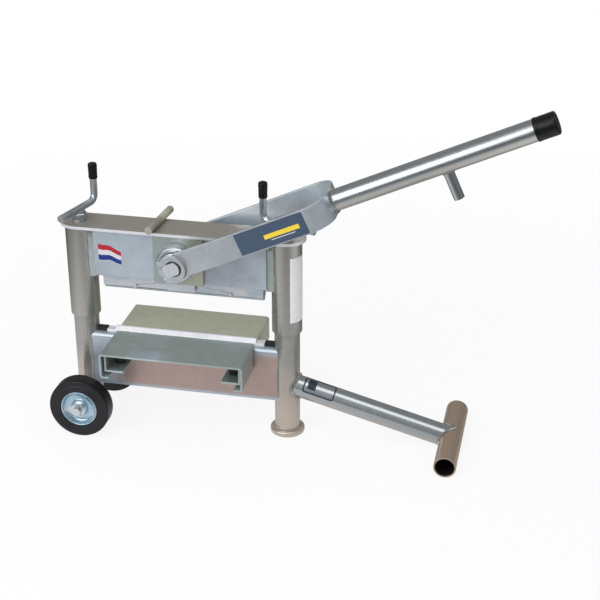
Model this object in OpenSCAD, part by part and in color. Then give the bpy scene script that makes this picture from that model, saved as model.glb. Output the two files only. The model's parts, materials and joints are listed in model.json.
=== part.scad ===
// Hand-lever masonry block splitter: a stand on two wheels, a foot and a T bar,
// and a splitting head that two crank spindles raise and lower on the posts.
// The lever turns an eccentric shaft, which presses the upper knife down.

/* [Knives] */
// Cutting length of the upper and lower knife
knife_len = 330; // [260:1:420]
// Gap between a knife end and the sleeve beside it
knife_side_gap = 15; // [10:0.5:30]
// Width of the land along each cutting edge
edge_land = 3; // [1:0.5:5]
// Width of the upper blade
blade_w = 12; // [8:0.5:16]
// Depth of the upper blade inside its holder
blade_seat = 7; // [6:0.25:7.5]
// Height of the blade below its holder
blade_out = 8; // [6:0.5:14]
// Width of the knife holder
holder_w = 20; // [16:0.5:24]
// Height of the knife holder
holder_h = 21; // [18:0.5:28]
// Thread size of the knife bolts
knife_bolt_d = 5; // [3:0.5:5.5]
// Spacing of the two knife bolts
knife_bolt_gap = 196; // [120:1:240]
// Base width of the lower knife
lower_base_w = 18; // [14:0.5:18.5]
// Base height of the lower knife
lower_base_h = 5; // [3:0.5:8]
// Height of the lower cutting edge above the base
lower_edge_h = 7; // [5:0.5:10]
// Length of base left bare at each end of the lower edge
lower_end_step = 18; // [8:1:30]

/* [Stand] */
// Outside diameter of the posts
post_d = 51; // [44:0.5:60]
// Wall of the posts
post_wall = 4; // [3:0.25:6]
// Distance from the left post's lower end to the axle
post_below_axle = 22; // [18:0.5:30]
// Diameter of the foot disc
foot_d = 70; // [60:1:90]
// Thickness of the foot disc
foot_t = 12; // [8:0.5:16]
// Rounding of the foot disc's rim
foot_round = 4; // [1:0.5:5]
// Height of the cross beam's top
cross_top = 192; // [170:1:230]
// Height of the cross beam
cross_h = 114; // [90:1:130]
// Depth of the cross beam, front to rear
cross_depth = 42; // [36:1:48]
// Sheet thickness of the cross beam
cross_wall = 6; // [4:0.5:8]
// Outer bend radius of the cross beam
cross_bend = 10; // [8:0.5:14]
// Gap between the axle spacers and the cross beam
axle_room = 6; // [4:0.5:10]
// Height of the rubber buffers under the sleeves
buffer_h = 7; // [5:0.5:12]
// Gap between a buffer and the table beside it
buffer_side_gap = 3; // [0.5:0.1:4]

/* [Support tube and T bar] */
// Diameter of the support tube and the T bar
tee_d = 44.5; // [38:0.5:50]
// Wall of both tubes
tee_wall = 3.2; // [2.5:0.1:5]
// Distance from the right post to the T bar
tee_reach = 336; // [280:1:420]
// Length of the T bar
tee_len = 230; // [180:1:244]
// Height at which the support tube's axis meets the post
support_rise = 112; // [95:1:130]

/* [Wheels] */
// Diameter of the tyres
wheel_d = 125; // [100:1:150]
// Width of the tyres
wheel_w = 37; // [30:0.5:42]
// Distance between the wheels' middle planes
wheel_track = 190; // [170:1:210]
// Rounding of the tyre shoulders
tyre_round = 13; // [8:0.5:14]
// Height of the tyre's section above its rim
tyre_h = 24.5; // [20:0.5:28]
// Thickness of the rim band
rim_t = 2.5; // [2:0.1:4]
// Width of the rim band
rim_w = 32; // [26:0.5:35]
// Diameter of the wheel hub
hub_d = 24; // [22:0.5:28]
// Length of the wheel hub
hub_len = 40; // [38:0.5:46]
// Diameter of the axle
axle_d = 16; // [12:0.5:18]
// Distance from the left post's axis to the axle, toward the machine's middle
axle_inset = 12; // [0:0.5:13]
// Diameter of the axle spacers
spacer_d = 24; // [20:0.5:30]
// Diameter of the axle washers
washer_d = 30; // [26:0.5:34]
// Thickness of the axle washers
washer_t = 2.5; // [2:0.1:4]
// Length of axle beyond each washer
axle_proud = 7.5; // [6:0.5:14]
// Diameter of the cotter pins
cotter_d = 3.2; // [2:0.1:4]

/* [Tables] */
// Length of the tables along the knife
table_len = 292; // [260:1:300]
// Distance from the knife plane to a table's outer edge
table_reach = 117; // [100:1:121]
// Distance from the knife plane to a table's inner edge
table_gap = 10; // [9.5:0.5:12]
// Sheet thickness of the tables
table_t = 4; // [3:0.25:5]
// Height of a table's side flanges
flange_h = 53; // [45:1:65]
// Width of the lip under each flange
lip_w = 18; // [10:1:24]
// Outer bend radius of the tables
table_bend = 6; // [5.5:0.5:9]
// Gap between a table's flanges and the cross beam
flange_gap = 7; // [6:0.5:12]
// Width of the table brackets' lower leg
bracket_w = 39; // [30:1:46]
// Thickness of the table brackets
bracket_t = 4; // [3:0.5:6]
// Distance from a table's outer edge back to its brackets
bracket_inset = 10; // [5:1:30]
// Gap between a table's lip and the bracket over it
bracket_lip_gap = 6; // [3:0.5:10]
// Gap between a bracket's upright leg and the table over it
bracket_top_gap = 4; // [2:0.5:8]
// Gap between a bracket and the table flange beside it
bracket_side_gap = 3; // [2:0.5:14]
// Diameter of the rubber table mounts
mount_d = 20; // [16:0.5:24]
// Thread size of the table bolts
table_bolt_d = 8; // [6:0.5:10]

/* [Head] */
// Clearance between a post and its sleeve
sleeve_fit = 0.4; // [0.3:0.05:0.8]
// Wall of the sleeves
sleeve_wall = 4.25; // [3.5:0.25:6]
// Length of the sleeves
sleeve_len = 195; // [180:1:230]
// Travel of the head below its rest height
travel_down = 30; // [20:1:40]
// Travel of the head above its rest height
travel_up = 50; // [30:1:60]
// Gap left above the buffers at the lowest head height
land_gap = 1; // [0.5:0.1:2]
// Width of the top plate
plate_w = 76; // [74:0.5:84]
// Thickness of the top plate
plate_t = 6; // [5:0.5:8]
// Height of the beam's side plates
beam_h = 100; // [96:1:112]
// Width of the beam over its side plates
beam_w = 54; // [52:0.5:56]
// Thickness of the side plates
web_t = 6; // [5:0.25:6.5]
// Gap between the side plates' ends and the sleeves
end_gap = 5; // [4:0.5:14]
// Setback of the end plates' edges behind the side plates' faces
end_recess = 4.5; // [0:0.5:4.5]
// Depth of the end plates below the side plates
end_drop = 5; // [2:0.5:8]
// Width of the bearing plates
pad_w = 100; // [90:1:116]
// Thickness of the bearing plates
pad_t = 9; // [6:0.5:9.5]
// Diameter of the lever stop bar
stop_d = 15; // [10:0.5:18]
// Distance from the pivot to the lever stop
stop_offset = 50; // [38:0.5:56]
// Length of the stop bar in front of its middle
stop_front = 47; // [42:1:54]
// Length of the stop bar behind its middle
stop_rear = 70; // [68:1:90]
// Angle of the stop bar to the front-to-rear line
stop_skew = 4.5; // [0:0.5:9]

/* [Eccentric shaft and bearings] */
// Distance from the top plate down to the shaft
pivot_drop = 49; // [46:0.5:52]
// Diameter of the shaft
shaft_d = 33; // [28:0.5:35]
// Width over the flats at the shaft ends
shaft_flats = 26; // [22:0.5:28]
// Diameter of the bearing bosses
boss_d = 75; // [64:0.5:80]
// Chamfer round the bosses' outer faces
boss_chamfer = 2.5; // [1:0.25:5]
// Length of the bearing bosses
boss_len = 26; // [16:0.5:30]
// Outside diameter of the bronze bushes
bush_d = 46; // [41:0.5:52]
// Running clearance on the radius of shafts and pins
run_fit = 0.05; // [0.02:0.01:0.08]
// Diameter of the eccentric
ecc_d = 54; // [51:0.5:56]
// Offset of the eccentric from the shaft
ecc_offset = 8; // [6:0.25:8.5]
// Angle of the eccentric below the horizontal at rest
ecc_phase = 14.5; // [0:0.25:20]

/* [Ram] */
// Width of the ram
ram_w = 96; // [92:0.5:110]
// Thickness of the ram
ram_t = 24; // [20:0.5:24.5]
// Height of the ram
ram_h = 92; // [88:0.5:95]
// Depth of the ram below the side plates
ram_drop = 3; // [1:0.25:4]
// Clearance of the ram in its guides
guide_fit = 0.3; // [0.2:0.05:0.6]
// Width of the ram guides
guide_w = 10; // [8:0.5:14]
// Room between the raised knife holder and the ram guides
guide_room = 3; // [2.5:0.25:6]
// Clearance over and under the eccentric in the ram's slot
slot_fit = 0.95; // [0.6:0.05:1]
// Side room for the eccentric in the ram's slot
slot_room = 1.5; // [1:0.1:3]
// Width of the ram cheeks
cheek_w = 56; // [44:1:70]
// Thickness of the ram cheeks
cheek_t = 8; // [6:0.25:8.5]
// Overlap of the cheeks on the ram
cheek_lap = 24; // [16:0.5:25]
// Diameter of the pin that the knife rocks on
rock_pin_d = 10; // [8:0.5:12]
// Distance from the side plates down to that pin
rock_drop = 13.5; // [12.5:0.25:18]
// Height of the knife holder above that pin
holder_above = 7.5; // [6.5:0.25:9]

/* [Lever] */
// Angle of the lever above the horizontal at rest
lever_rest = 24.3; // [15:0.1:32]
// Gap between a bearing boss and the yoke's arm
yoke_gap = 3; // [2:0.25:8]
// Thickness of the yoke's flat bar
yoke_t = 9; // [7:0.5:12]
// Height of the yoke's flat bar
yoke_h = 50; // [42:1:54]
// Outer bend radius at the yoke's closed end
yoke_bend = 45; // [30:1:50]
// Room between the top plate's end and the yoke's closed end
yoke_end_gap = 53.5; // [40:0.5:80]
// Outer diameter of the yoke's open jaws
jaw_d = 56; // [50:0.5:62]
// Thickness of the jaws
jaw_t = 16; // [12:0.5:20]
// Distance from the yoke's inner face to the jaws' inner faces
jaw_inset = 1; // [0:0.25:4]
// Length of the jaw tips past the shaft's axis
jaw_tip = 21; // [18:0.5:26]
// Room in the jaws behind the shaft
jaw_room = 4; // [2:0.25:6]
// Length of shaft beyond each jaw
shaft_proud = 2; // [1:0.25:5]
// Diameter of the lever tube
lever_d = 42.4; // [36:0.1:48]
// Wall of the lever tube
lever_wall = 3.2; // [2.5:0.1:5]
// Length of the lever beyond the yoke
lever_len = 443; // [380:1:520]
// Length of the end cap
cap_len = 42; // [36:0.5:60]
// Wall of the end cap
cap_wall = 1.5; // [1.2:0.1:4]
// Thickness of the end cap's closed end
cap_end_t = 6; // [4:0.5:8]
// Rounding of the end cap
cap_round = 3; // [1:0.25:3.5]
// Distance from the yoke to the peg under the lever
peg_at = 225; // [180:1:260]
// Diameter of the peg
peg_d = 21; // [16:0.5:24]
// Length of the peg below the tube
peg_len = 54; // [40:1:62]

/* [Cranks] */
// Diameter of the spindles
spindle_d = 20; // [16:0.5:22]
// Height of the spindle nuts
nut_h = 24; // [16:0.5:30]
// Reserve of spindle below its nut at the highest head height
spindle_reserve = 6; // [4:0.5:12]
// Diameter of the collars on the top plate
collar_d = 30; // [26:0.5:36]
// Height of the collars on the top plate
collar_h = 15; // [10:0.5:20]
// Diameter of the shoulder under the top plate
shoulder_d = 28; // [25:0.5:34]
// Height of the shoulder under the top plate
shoulder_h = 6.7; // [5:0.1:8]
// Running gap at the faces of collars, washers and shoulders
face_gap = 0.3; // [0.2:0.05:0.5]
// Gap between the crank rod and the collar under it
rod_seat_gap = 0.4; // [0.3:0.05:1]
// Diameter of the crank rod
rod_d = 14; // [10:0.5:15]
// Bend radius of the crank rod, along its middle
rod_bend = 15; // [10:0.5:20]
// Diameter of the grips
grip_d = 18.4; // [16.5:0.1:20]
// Length of the grips
grip_len = 33; // [30:0.5:50]
// Height of the grips above the rod's axis
grip_rise = 46.5; // [26:0.5:55]
// Thickness of a grip over the rod's end
grip_cap = 7; // [5:0.5:9]
// Gap between a turning crank and the yoke's arms
crank_clear = 1.8; // [1:0.1:4]
// Angle of the left crank about its spindle
crank_left_angle = 75; // [0:1:359]
// Angle of the right crank about its spindle
crank_right_angle = 160; // [0:1:359]

/* [Hidden] */
$fn = 96;
// Overrun of every cut past the face that it opens
over = 2;
zinc = "#b3b9bc";
zinc_warm = "#a7a298";
rubber_black = "#1c1c1e";
bronze = "#b08d4a";

// Posts and sleeves
post_r = post_d / 2;
post_bore_r = post_r - post_wall;
sleeve_bore_r = post_r + sleeve_fit;
sleeve_r = sleeve_bore_r + sleeve_wall;
post_x = knife_len / 2 + knife_side_gap + sleeve_r;
sleeve_low = cross_top + buffer_h + land_gap + travel_down;
plate_low = sleeve_low + sleeve_len;
plate_top = plate_low + plate_t;
plate_r = plate_w / 2;
post_head_room = 8;
post_top = plate_low - travel_down - shoulder_h - face_gap - post_head_room;

// Beam, bearings and shaft
web_low = plate_low - beam_h;
web_y = beam_w / 2;
web_in = web_y - web_t;
web_half = post_x - sleeve_r - end_gap;
pad_y = web_y + pad_t;
boss_y = pad_y + boss_len;
pivot_z = plate_low - pivot_drop;

// Ram and upper knife
ram_half = ram_w / 2;
ram_y = ram_t / 2;
ram_low = web_low - ram_drop;
ecc_r = ecc_d / 2;
ecc_z = pivot_z - ecc_offset * sin(ecc_phase);
slot_half_h = ecc_r + slot_fit;
slot_half_w = ecc_r + ecc_offset + slot_room;
rock_z = web_low - rock_drop;
holder_top = rock_z + holder_above;
holder_low = holder_top - holder_h;
guide_low = holder_top + ecc_offset * (1 + sin(ecc_phase)) + guide_room;
holder_half = knife_len / 2;
knife_z = holder_low - blade_out;
blade_slope_share = 0.75;
bolt_head_share = 1.8;
bolt_head_h_share = 0.6;

// Lever, measured along its own axis from the shaft
yoke_in = boss_y + yoke_gap;
yoke_out = yoke_in + yoke_t;
yoke_reach = (post_x + plate_r + yoke_end_gap) / cos(lever_rest);
jaw_in = yoke_in + jaw_inset;
jaw_out = jaw_in + jaw_t;
shaft_end = jaw_out + shaft_proud;
lever_r = lever_d / 2;
cap_r = lever_r + cap_wall;
cap_end = yoke_reach + lever_len;

// Cranks
crank_r = yoke_in - grip_d / 2 - crank_clear;
rod_tail = sqrt(pow(yoke_in - crank_clear, 2) - pow(rod_d / 2, 2));
rod_z = plate_top + face_gap + collar_h + rod_seat_gap + rod_d / 2;
grip_low = rod_z + grip_rise;
grip_top = grip_low + grip_len;
spindle_low = post_top - nut_h - travel_up - spindle_reserve;
saddle_share = 0.2;
spindle_top = rod_z - rod_d * saddle_share;
grip_round = grip_d / 4;

// Stand
cross_y = cross_depth / 2;
cross_low = cross_top - cross_h;
table_top = cross_top + table_t;
table_half = table_len / 2;
buffer_y = table_gap - buffer_side_gap;
flange_y = cross_y + flange_gap;
bracket_low = table_top - flange_h + table_t + bracket_lip_gap;
bracket_out = table_half - table_t - bracket_side_gap;
bracket_in = bracket_out - bracket_w;
bracket_end = table_reach - bracket_inset;
mount_low = bracket_low + bracket_t;
mount_h = cross_top - mount_low;
mount_x = (bracket_in + bracket_out - bracket_t) / 2;
mount_y_share = 0.55;
mount_y = cross_y + (bracket_end - cross_y) * mount_y_share;
tee_r = tee_d / 2;
tee_x = post_x + tee_reach;
support_tilt = atan((support_rise - tee_r) / tee_reach);
support_len = norm([tee_reach, support_rise - tee_r]);
wheel_r = wheel_d / 2;
rim_d = wheel_d - 2 * tyre_h;
axle_x = -post_x + axle_inset;
hub_y = wheel_track / 2;
axle_end = hub_y + hub_len / 2 + washer_t + 2 * face_gap + axle_proud;
cotter_y = axle_end - axle_proud / 2;

// Shapes of small pieces, as shares of their own sizes
ring_share = 1.1;
leg_share = 0.9;
half_share = 0.55;
wire_share = 0.7;
mount_round_share = 0.08;
tip_share = 0.86;
slot_round_share = 0.3;
cheek_edge_share = 0.9;
// Dished wheel disc, as shares of its span and of half the rim's width
dish_shares = [[0, 0.9], [0.18, 0.9], [0.42, 0.5], [0.7, 0.5], [0.92, 0.85], [1, 0.85]];

// The frame's origin lies on the floor under the middle of the bounding box
x_low = min(axle_x - wheel_r, -post_x - plate_r);
x_high = (cap_end - cap_round) * cos(lever_rest) + (cap_r - cap_round) * sin(lever_rest) + cap_round;
frame_x = -(x_low + x_high) / 2;

// Moves the machine's own middle to the frame's origin
module placed() {
    translate([frame_x, 0, 0]) children();
}

// Lever frame: X along the lever, Y across the machine, origin at the shaft
module on_lever() {
    placed() translate([0, 0, pivot_z]) rotate([0, -lever_rest, 0]) children();
}

// A shape and its mirror image on the other side of the knife plane
module front_and_rear() {
    children();
    mirror([0, 1, 0]) children();
}

// A shape and its mirror image on the other side of the pivot
module left_and_right() {
    children();
    mirror([1, 0, 0]) children();
}

// A round bar along Y between two stations
module bar_y(d, y_from, y_to) {
    translate([0, y_to, 0]) rotate([90, 0, 0]) cylinder(d = d, h = y_to - y_from);
}

// A block between two corners
module block(low, high) {
    translate(low) cube(high - low);
}

// A rectangle about its middle with round corners
module round_rect(w, h, r) {
    square([w - 2 * r, h], center = true);
    square([w, h - 2 * r], center = true);
    for (sx = [-1, 1], sy = [-1, 1])
        translate([sx * (w / 2 - r), sy * (h / 2 - r)]) circle(r = r);
}

// A disc standing on Z = 0 with round rims
module round_disc(d, h, r) {
    translate([0, 0, h / 2]) rotate_extrude() intersection() {
        round_rect(d, h, r);
        translate([0, -h]) square([d, 2 * h]);
    }
}

// A vertical tube
module tube(r_out, r_in, z_from, z_to) {
    translate([0, 0, z_from]) difference() {
        cylinder(r = r_out, h = z_to - z_from);
        translate([0, 0, -over]) cylinder(r = r_in, h = z_to - z_from + 2 * over);
    }
}

// A hexagonal head or nut standing on Z = 0
module hexagon(d, h) {
    cylinder(d = d, h = h, $fn = 6);
}

// STAND

module post_left() {
    color(zinc) placed() difference() {
        translate([-post_x, 0, 0]) tube(post_r, post_bore_r, wheel_r - post_below_axle, post_top);
        translate([axle_x, 0, wheel_r]) bar_y(axle_d, -post_d, post_d);
    }
}

module post_right() {
    color(zinc) placed() translate([post_x, 0, 0]) tube(post_r, post_bore_r, foot_t, post_top);
}

module foot_disc() {
    color(zinc) placed() translate([post_x, 0, 0]) round_disc(foot_d, foot_t, foot_round);
}

// Folded channel, open below, coped to both posts and over the axle
module cross_beam() {
    color(zinc_warm) placed() difference() {
        translate([-post_x, 0, 0]) rotate([90, 0, 90]) linear_extrude(2 * post_x) difference() {
            cross_outline(0);
            cross_outline(cross_wall);
            translate([-cross_depth, cross_low - cross_h]) square([2 * cross_depth, cross_h]);
        }
        left_and_right() translate([post_x, 0, 0]) cylinder(r = post_r, h = cross_top + cross_h);
        translate([axle_x, 0, wheel_r]) bar_y(spacer_d + 2 * axle_room, -cross_depth, cross_depth);
    }
}

module cross_outline(inset) {
    translate([0, cross_top - cross_h])
        round_rect(cross_depth - 2 * inset, 2 * (cross_h - inset), cross_bend - inset);
}

module support_tube() {
    color(zinc) placed() difference() {
        translate([post_x, 0, support_rise]) rotate([0, 90 + support_tilt, 0])
            tube(tee_r, tee_r - tee_wall, 0, support_len);
        translate([post_x, 0, 0]) cylinder(r = post_r, h = cross_top);
        translate([tee_x, 0, tee_r]) bar_y(tee_d, -tee_d, tee_d);
    }
}

module tee_bar() {
    color(zinc) placed() translate([tee_x, 0, tee_r]) difference() {
        bar_y(tee_d, -tee_len / 2, tee_len / 2);
        bar_y(tee_d - 2 * tee_wall, -tee_len / 2 - over, tee_len / 2 + over);
    }
}

module axle() {
    color(zinc) placed() translate([axle_x, 0, wheel_r]) difference() {
        bar_y(axle_d, -axle_end, axle_end);
        cotter_holes();
    }
}

module cotter_holes() {
    front_and_rear() translate([0, cotter_y, -axle_d]) cylinder(d = cotter_d, h = 2 * axle_d);
}

module axle_spacers() {
    color(zinc) placed() front_and_rear() difference() {
        translate([axle_x, 0, wheel_r]) difference() {
            bar_y(spacer_d, 0, hub_y - hub_len / 2 - face_gap);
            bar_y(axle_d, -over, hub_y);
        }
        translate([-post_x, 0, 0]) cylinder(r = post_r, h = wheel_d);
    }
}

module axle_washers() {
    washer_y = hub_y + hub_len / 2 + face_gap;
    color(zinc) placed() front_and_rear() translate([axle_x, 0, wheel_r]) difference() {
        bar_y(washer_d, washer_y, washer_y + washer_t);
        bar_y(axle_d, 0, axle_end);
    }
}

// Straight legs with a ring on top
module cotter_pins() {
    ring_r = cotter_d * ring_share;
    color(zinc) placed() front_and_rear() translate([axle_x, cotter_y, wheel_r]) {
        translate([0, 0, -axle_d * leg_share]) cylinder(d = cotter_d, h = axle_d * (leg_share + half_share));
        translate([0, 0, axle_d * half_share + ring_r]) rotate([90, 0, 0])
            rotate_extrude() translate([ring_r, 0]) circle(d = cotter_d * wire_share);
    }
}

// Folded tray: top, two side flanges and a lip under each
module table_front() {
    color(zinc) placed() difference() {
        translate([0, -table_gap, 0]) rotate([90, 0, 0]) linear_extrude(table_reach - table_gap) table_profile();
        block([-table_len, -flange_y, 0], [table_len, 0, cross_top]);
    }
}

module table_profile() {
    translate([0, table_top - flange_h / 2]) difference() {
        round_rect(table_len, flange_h, table_bend);
        round_rect(table_len - 2 * table_t, flange_h - 2 * table_t, table_bend - table_t);
        translate([0, -flange_h / 2])
            square([table_len - 2 * lip_w, 2 * (table_t + table_bend)], center = true);
    }
}

module table_rear() {
    mirror([0, 1, 0]) table_front();
}

// Angles beside the flanges that carry the tables, two in front and two behind
module table_brackets() {
    color(zinc_warm) placed() front_and_rear() left_and_right() difference() {
        union() {
            block([bracket_in, cross_y, bracket_low], [bracket_out, bracket_end, mount_low]);
            block([bracket_out - bracket_t, cross_y, bracket_low],
                  [bracket_out, bracket_end, cross_top - bracket_top_gap]);
        }
        translate([mount_x, mount_y, 0]) cylinder(d = table_bolt_d, h = cross_top);
    }
}

// Rubber blocks between the brackets and the tables
module table_mounts() {
    color(rubber_black) placed() front_and_rear() left_and_right() translate([mount_x, mount_y, mount_low])
        difference() {
            round_disc(mount_d, mount_h, mount_d * mount_round_share);
            translate([0, 0, -over]) cylinder(d = table_bolt_d, h = mount_h + 2 * over);
        }
}

module table_bolts() {
    head_h = table_bolt_d * bolt_head_h_share;
    color(zinc) placed() front_and_rear() left_and_right()
        translate([mount_x, mount_y, bracket_low - head_h]) {
            hexagon(table_bolt_d * bolt_head_share, head_h);
            cylinder(d = table_bolt_d, h = head_h + bracket_t + mount_h);
        }
}

// Flat base with a roof-shaped cutting edge
module lower_knife() {
    edge_half = holder_half - lower_end_step;
    color(zinc) placed() {
        block([-holder_half, -lower_base_w / 2, cross_top], [holder_half, lower_base_w / 2, cross_top + lower_base_h]);
        translate([-edge_half, 0, cross_top + lower_base_h]) rotate([90, 0, 90]) linear_extrude(2 * edge_half)
            polygon([
                [-lower_base_w / 2, 0], [lower_base_w / 2, 0],
                [edge_land / 2, lower_edge_h], [-edge_land / 2, lower_edge_h]
            ]);
    }
}

// Rubber blocks on the cross beam, where the sleeves land
module sleeve_buffers() {
    color(rubber_black) placed() left_and_right() difference() {
        block([holder_half, -buffer_y, cross_top], [post_x, buffer_y, cross_top + buffer_h]);
        translate([post_x, 0, 0]) cylinder(r = post_r, h = 2 * cross_top);
    }
}

module spindle_nuts() {
    color(bronze) placed() left_and_right() translate([post_x, 0, 0])
        tube(post_bore_r, spindle_d / 2 + run_fit, post_top - nut_h, post_top);
}

// HEAD

// Long plate with round ends over both posts
module top_plate() {
    color(zinc_warm) placed() translate([0, 0, plate_low]) difference() {
        union() {
            translate([-post_x, -plate_r, 0]) cube([2 * post_x, plate_w, plate_t]);
            left_and_right() translate([post_x, 0, 0]) cylinder(r = plate_r, h = plate_t);
        }
        left_and_right() translate([post_x, 0, -over])
            cylinder(r = spindle_d / 2 + run_fit, h = plate_t + 2 * over);
    }
}

module sleeve_left() {
    color(zinc) placed() translate([-post_x, 0, 0]) tube(sleeve_r, sleeve_bore_r, sleeve_low, plate_low);
}

module sleeve_right() {
    mirror_about_pivot() sleeve_left();
}

// Mirrors a placed piece about the plane through the pivot
module mirror_about_pivot() {
    translate([2 * frame_x, 0, 0]) mirror([1, 0, 0]) children();
}

module side_plate_front() {
    color(zinc) placed() difference() {
        block([-web_half, -web_y, web_low], [web_half, -web_in, plate_low]);
        bush_hole();
    }
}

module side_plate_rear() {
    mirror([0, 1, 0]) side_plate_front();
}

module bush_hole() {
    translate([0, 0, pivot_z]) bar_y(bush_d, -boss_y - over, boss_y + over);
}

// Closes the beam's end and is coped to the sleeve
module end_plate_left() {
    end_y = web_y - end_recess;
    color(zinc) placed() difference() {
        block([-post_x, -end_y, web_low - end_drop], [-web_half, end_y, plate_low]);
        translate([-post_x, 0, sleeve_low]) cylinder(r = sleeve_r, h = 2 * sleeve_len);
    }
}

module end_plate_right() {
    mirror_about_pivot() end_plate_left();
}

module bearing_plate_front() {
    color(zinc_warm) placed() difference() {
        block([-pad_w / 2, -pad_y, web_low], [pad_w / 2, -web_y, plate_low]);
        bush_hole();
    }
}

module bearing_plate_rear() {
    mirror([0, 1, 0]) bearing_plate_front();
}

// Turned ring round the bush, chamfered in front
module bearing_boss_front() {
    color(zinc) placed() difference() {
        translate([0, -pad_y, pivot_z]) rotate([90, 0, 0]) {
            cylinder(d = boss_d, h = boss_len - boss_chamfer);
            translate([0, 0, boss_len - boss_chamfer])
                cylinder(d1 = boss_d, d2 = boss_d - 2 * boss_chamfer, h = boss_chamfer);
        }
        bush_hole();
    }
}

module bearing_boss_rear() {
    mirror([0, 1, 0]) bearing_boss_front();
}

module bush_front() {
    color(bronze) placed() translate([0, 0, pivot_z]) difference() {
        bar_y(bush_d, -boss_y, -web_in);
        bar_y(shaft_d + 2 * run_fit, -boss_y - over, 0);
    }
}

module bush_rear() {
    mirror([0, 1, 0]) bush_front();
}

module ram_guide_left() {
    guide_x = ram_half + guide_fit;
    color(zinc) placed() block([-guide_x - guide_w, -web_in, guide_low], [-guide_x, web_in, plate_low]);
}

module ram_guide_right() {
    mirror_about_pivot() ram_guide_left();
}

// Round bar across the plate that the raised lever comes to rest against
module lever_stop() {
    stop_r = stop_d / 2;
    color(zinc_warm) placed() translate([-stop_offset, 0, plate_top + stop_r]) rotate([0, 0, -stop_skew]) {
        bar_y(stop_d, -stop_front, stop_rear);
        translate([0, stop_rear, 0]) sphere(r = stop_r);
    }
}

// CRANKS

// Screw with a shoulder under the plate and a saddle for the rod on top
module spindle(x, turn) {
    color(zinc) placed() translate([x, 0, 0]) difference() {
        union() {
            translate([0, 0, spindle_low]) cylinder(d = spindle_d, h = spindle_top - spindle_low);
            translate([0, 0, plate_low - face_gap - shoulder_h]) cylinder(d = shoulder_d, h = shoulder_h);
        }
        rotate([0, 0, turn + 90]) translate([0, 0, rod_z]) bar_y(rod_d, -collar_d, collar_d);
    }
}

module collar(x) {
    color(zinc) placed() translate([x, 0, plate_top + face_gap]) difference() {
        hexagon(collar_d, collar_h);
        translate([0, 0, -over]) cylinder(d = spindle_d, h = collar_h + 2 * over);
    }
}

// Rod welded across the spindle's top, bent upright at the grip's end
module crank_rod(x, turn) {
    rod_top = grip_top - grip_cap;
    bend_x = crank_r - rod_bend;
    color(zinc) placed() translate([x, 0, rod_z]) rotate([0, 0, turn]) {
        translate([bend_x, 0, 0]) rotate([0, -90, 0]) cylinder(d = rod_d, h = bend_x + rod_tail);
        translate([bend_x, 0, rod_bend]) rotate([90, 0, 0]) rotate([0, 0, -90])
            rotate_extrude(angle = 90) translate([rod_bend, 0]) circle(d = rod_d);
        translate([crank_r, 0, rod_bend]) cylinder(d = rod_d, h = rod_top - rod_z - rod_bend);
    }
}

module crank_grip(x, turn) {
    color(rubber_black) placed() translate([x, 0, 0]) rotate([0, 0, turn]) translate([crank_r, 0, grip_low])
        difference() {
            union() {
                cylinder(d = grip_d, h = grip_len - grip_round);
                translate([0, 0, grip_len / 2]) round_disc(grip_d, grip_len / 2, grip_round);
            }
            translate([0, 0, -over]) cylinder(d = rod_d, h = grip_len - grip_cap + over);
        }
}

module spindle_left() { spindle(-post_x, crank_left_angle); }
module collar_left() { collar(-post_x); }
module crank_rod_left() { crank_rod(-post_x, crank_left_angle); }
module crank_grip_left() { crank_grip(-post_x, crank_left_angle); }
module spindle_right() { spindle(post_x, crank_right_angle); }
module collar_right() { collar(post_x); }
module crank_rod_right() { crank_rod(post_x, crank_right_angle); }
module crank_grip_right() { crank_grip(post_x, crank_right_angle); }

// LEVER

// Shaft with an eccentric in its middle and flats at both ends
module eccentric_shaft() {
    ecc_turn = ecc_phase + lever_rest;
    color(zinc) on_lever() {
        difference() {
            bar_y(shaft_d, -shaft_end, shaft_end);
            front_and_rear() for (side = [0, 1]) mirror([0, 0, side])
                block([-shaft_d, yoke_in, shaft_flats / 2], [shaft_d, shaft_end + over, shaft_d]);
        }
        rotate([0, ecc_turn, 0]) translate([ecc_offset, 0, 0]) bar_y(ecc_d, -ram_y, ram_y);
    }
}

// Flat bar bent into a U, coped to the jaws
module yoke() {
    color(zinc) on_lever() difference() {
        linear_extrude(yoke_h, center = true) difference() {
            yoke_outline(yoke_out, yoke_reach, yoke_bend);
            yoke_outline(yoke_in, yoke_reach - yoke_t, yoke_bend - yoke_t);
            translate([-yoke_reach, -yoke_out - over]) square([yoke_reach, 2 * (yoke_out + over)]);
        }
        bar_y(jaw_d, -yoke_out - over, yoke_out + over);
    }
}

module yoke_outline(half_w, reach, r) {
    round_rect(2 * reach, 2 * half_w, r);
}

// Open jaws that grip the shaft's flats
module yoke_jaws() {
    color(zinc) on_lever() front_and_rear() translate([0, jaw_out, 0]) rotate([90, 0, 0]) linear_extrude(jaw_t)
        difference() {
            union() {
                circle(d = jaw_d);
                translate([-jaw_tip, -jaw_d * tip_share / 2]) square([jaw_tip, jaw_d * tip_share]);
            }
            translate([jaw_room, 0]) circle(d = shaft_d);
            translate([-jaw_d, -shaft_flats / 2]) square([jaw_d + jaw_room, shaft_flats]);
        }
}

module lever_tube() {
    color(zinc) on_lever() rotate([0, 90, 0]) tube(lever_r, lever_r - lever_wall, yoke_reach, cap_end - cap_end_t);
}

module lever_cap() {
    color(rubber_black) on_lever() rotate([0, 90, 0]) translate([0, 0, cap_end - cap_len]) difference() {
        union() {
            cylinder(r = cap_r, h = cap_len / 2);
            round_disc(2 * cap_r, cap_len, cap_round);
        }
        translate([0, 0, -over]) cylinder(r = lever_r, h = cap_len - cap_end_t + over);
    }
}

module lever_peg() {
    color(zinc) on_lever() difference() {
        translate([yoke_reach + peg_at, 0, -lever_r - peg_len]) cylinder(d = peg_d, h = peg_len + lever_r);
        rotate([0, 90, 0]) cylinder(r = lever_r, h = cap_end);
    }
}

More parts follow.
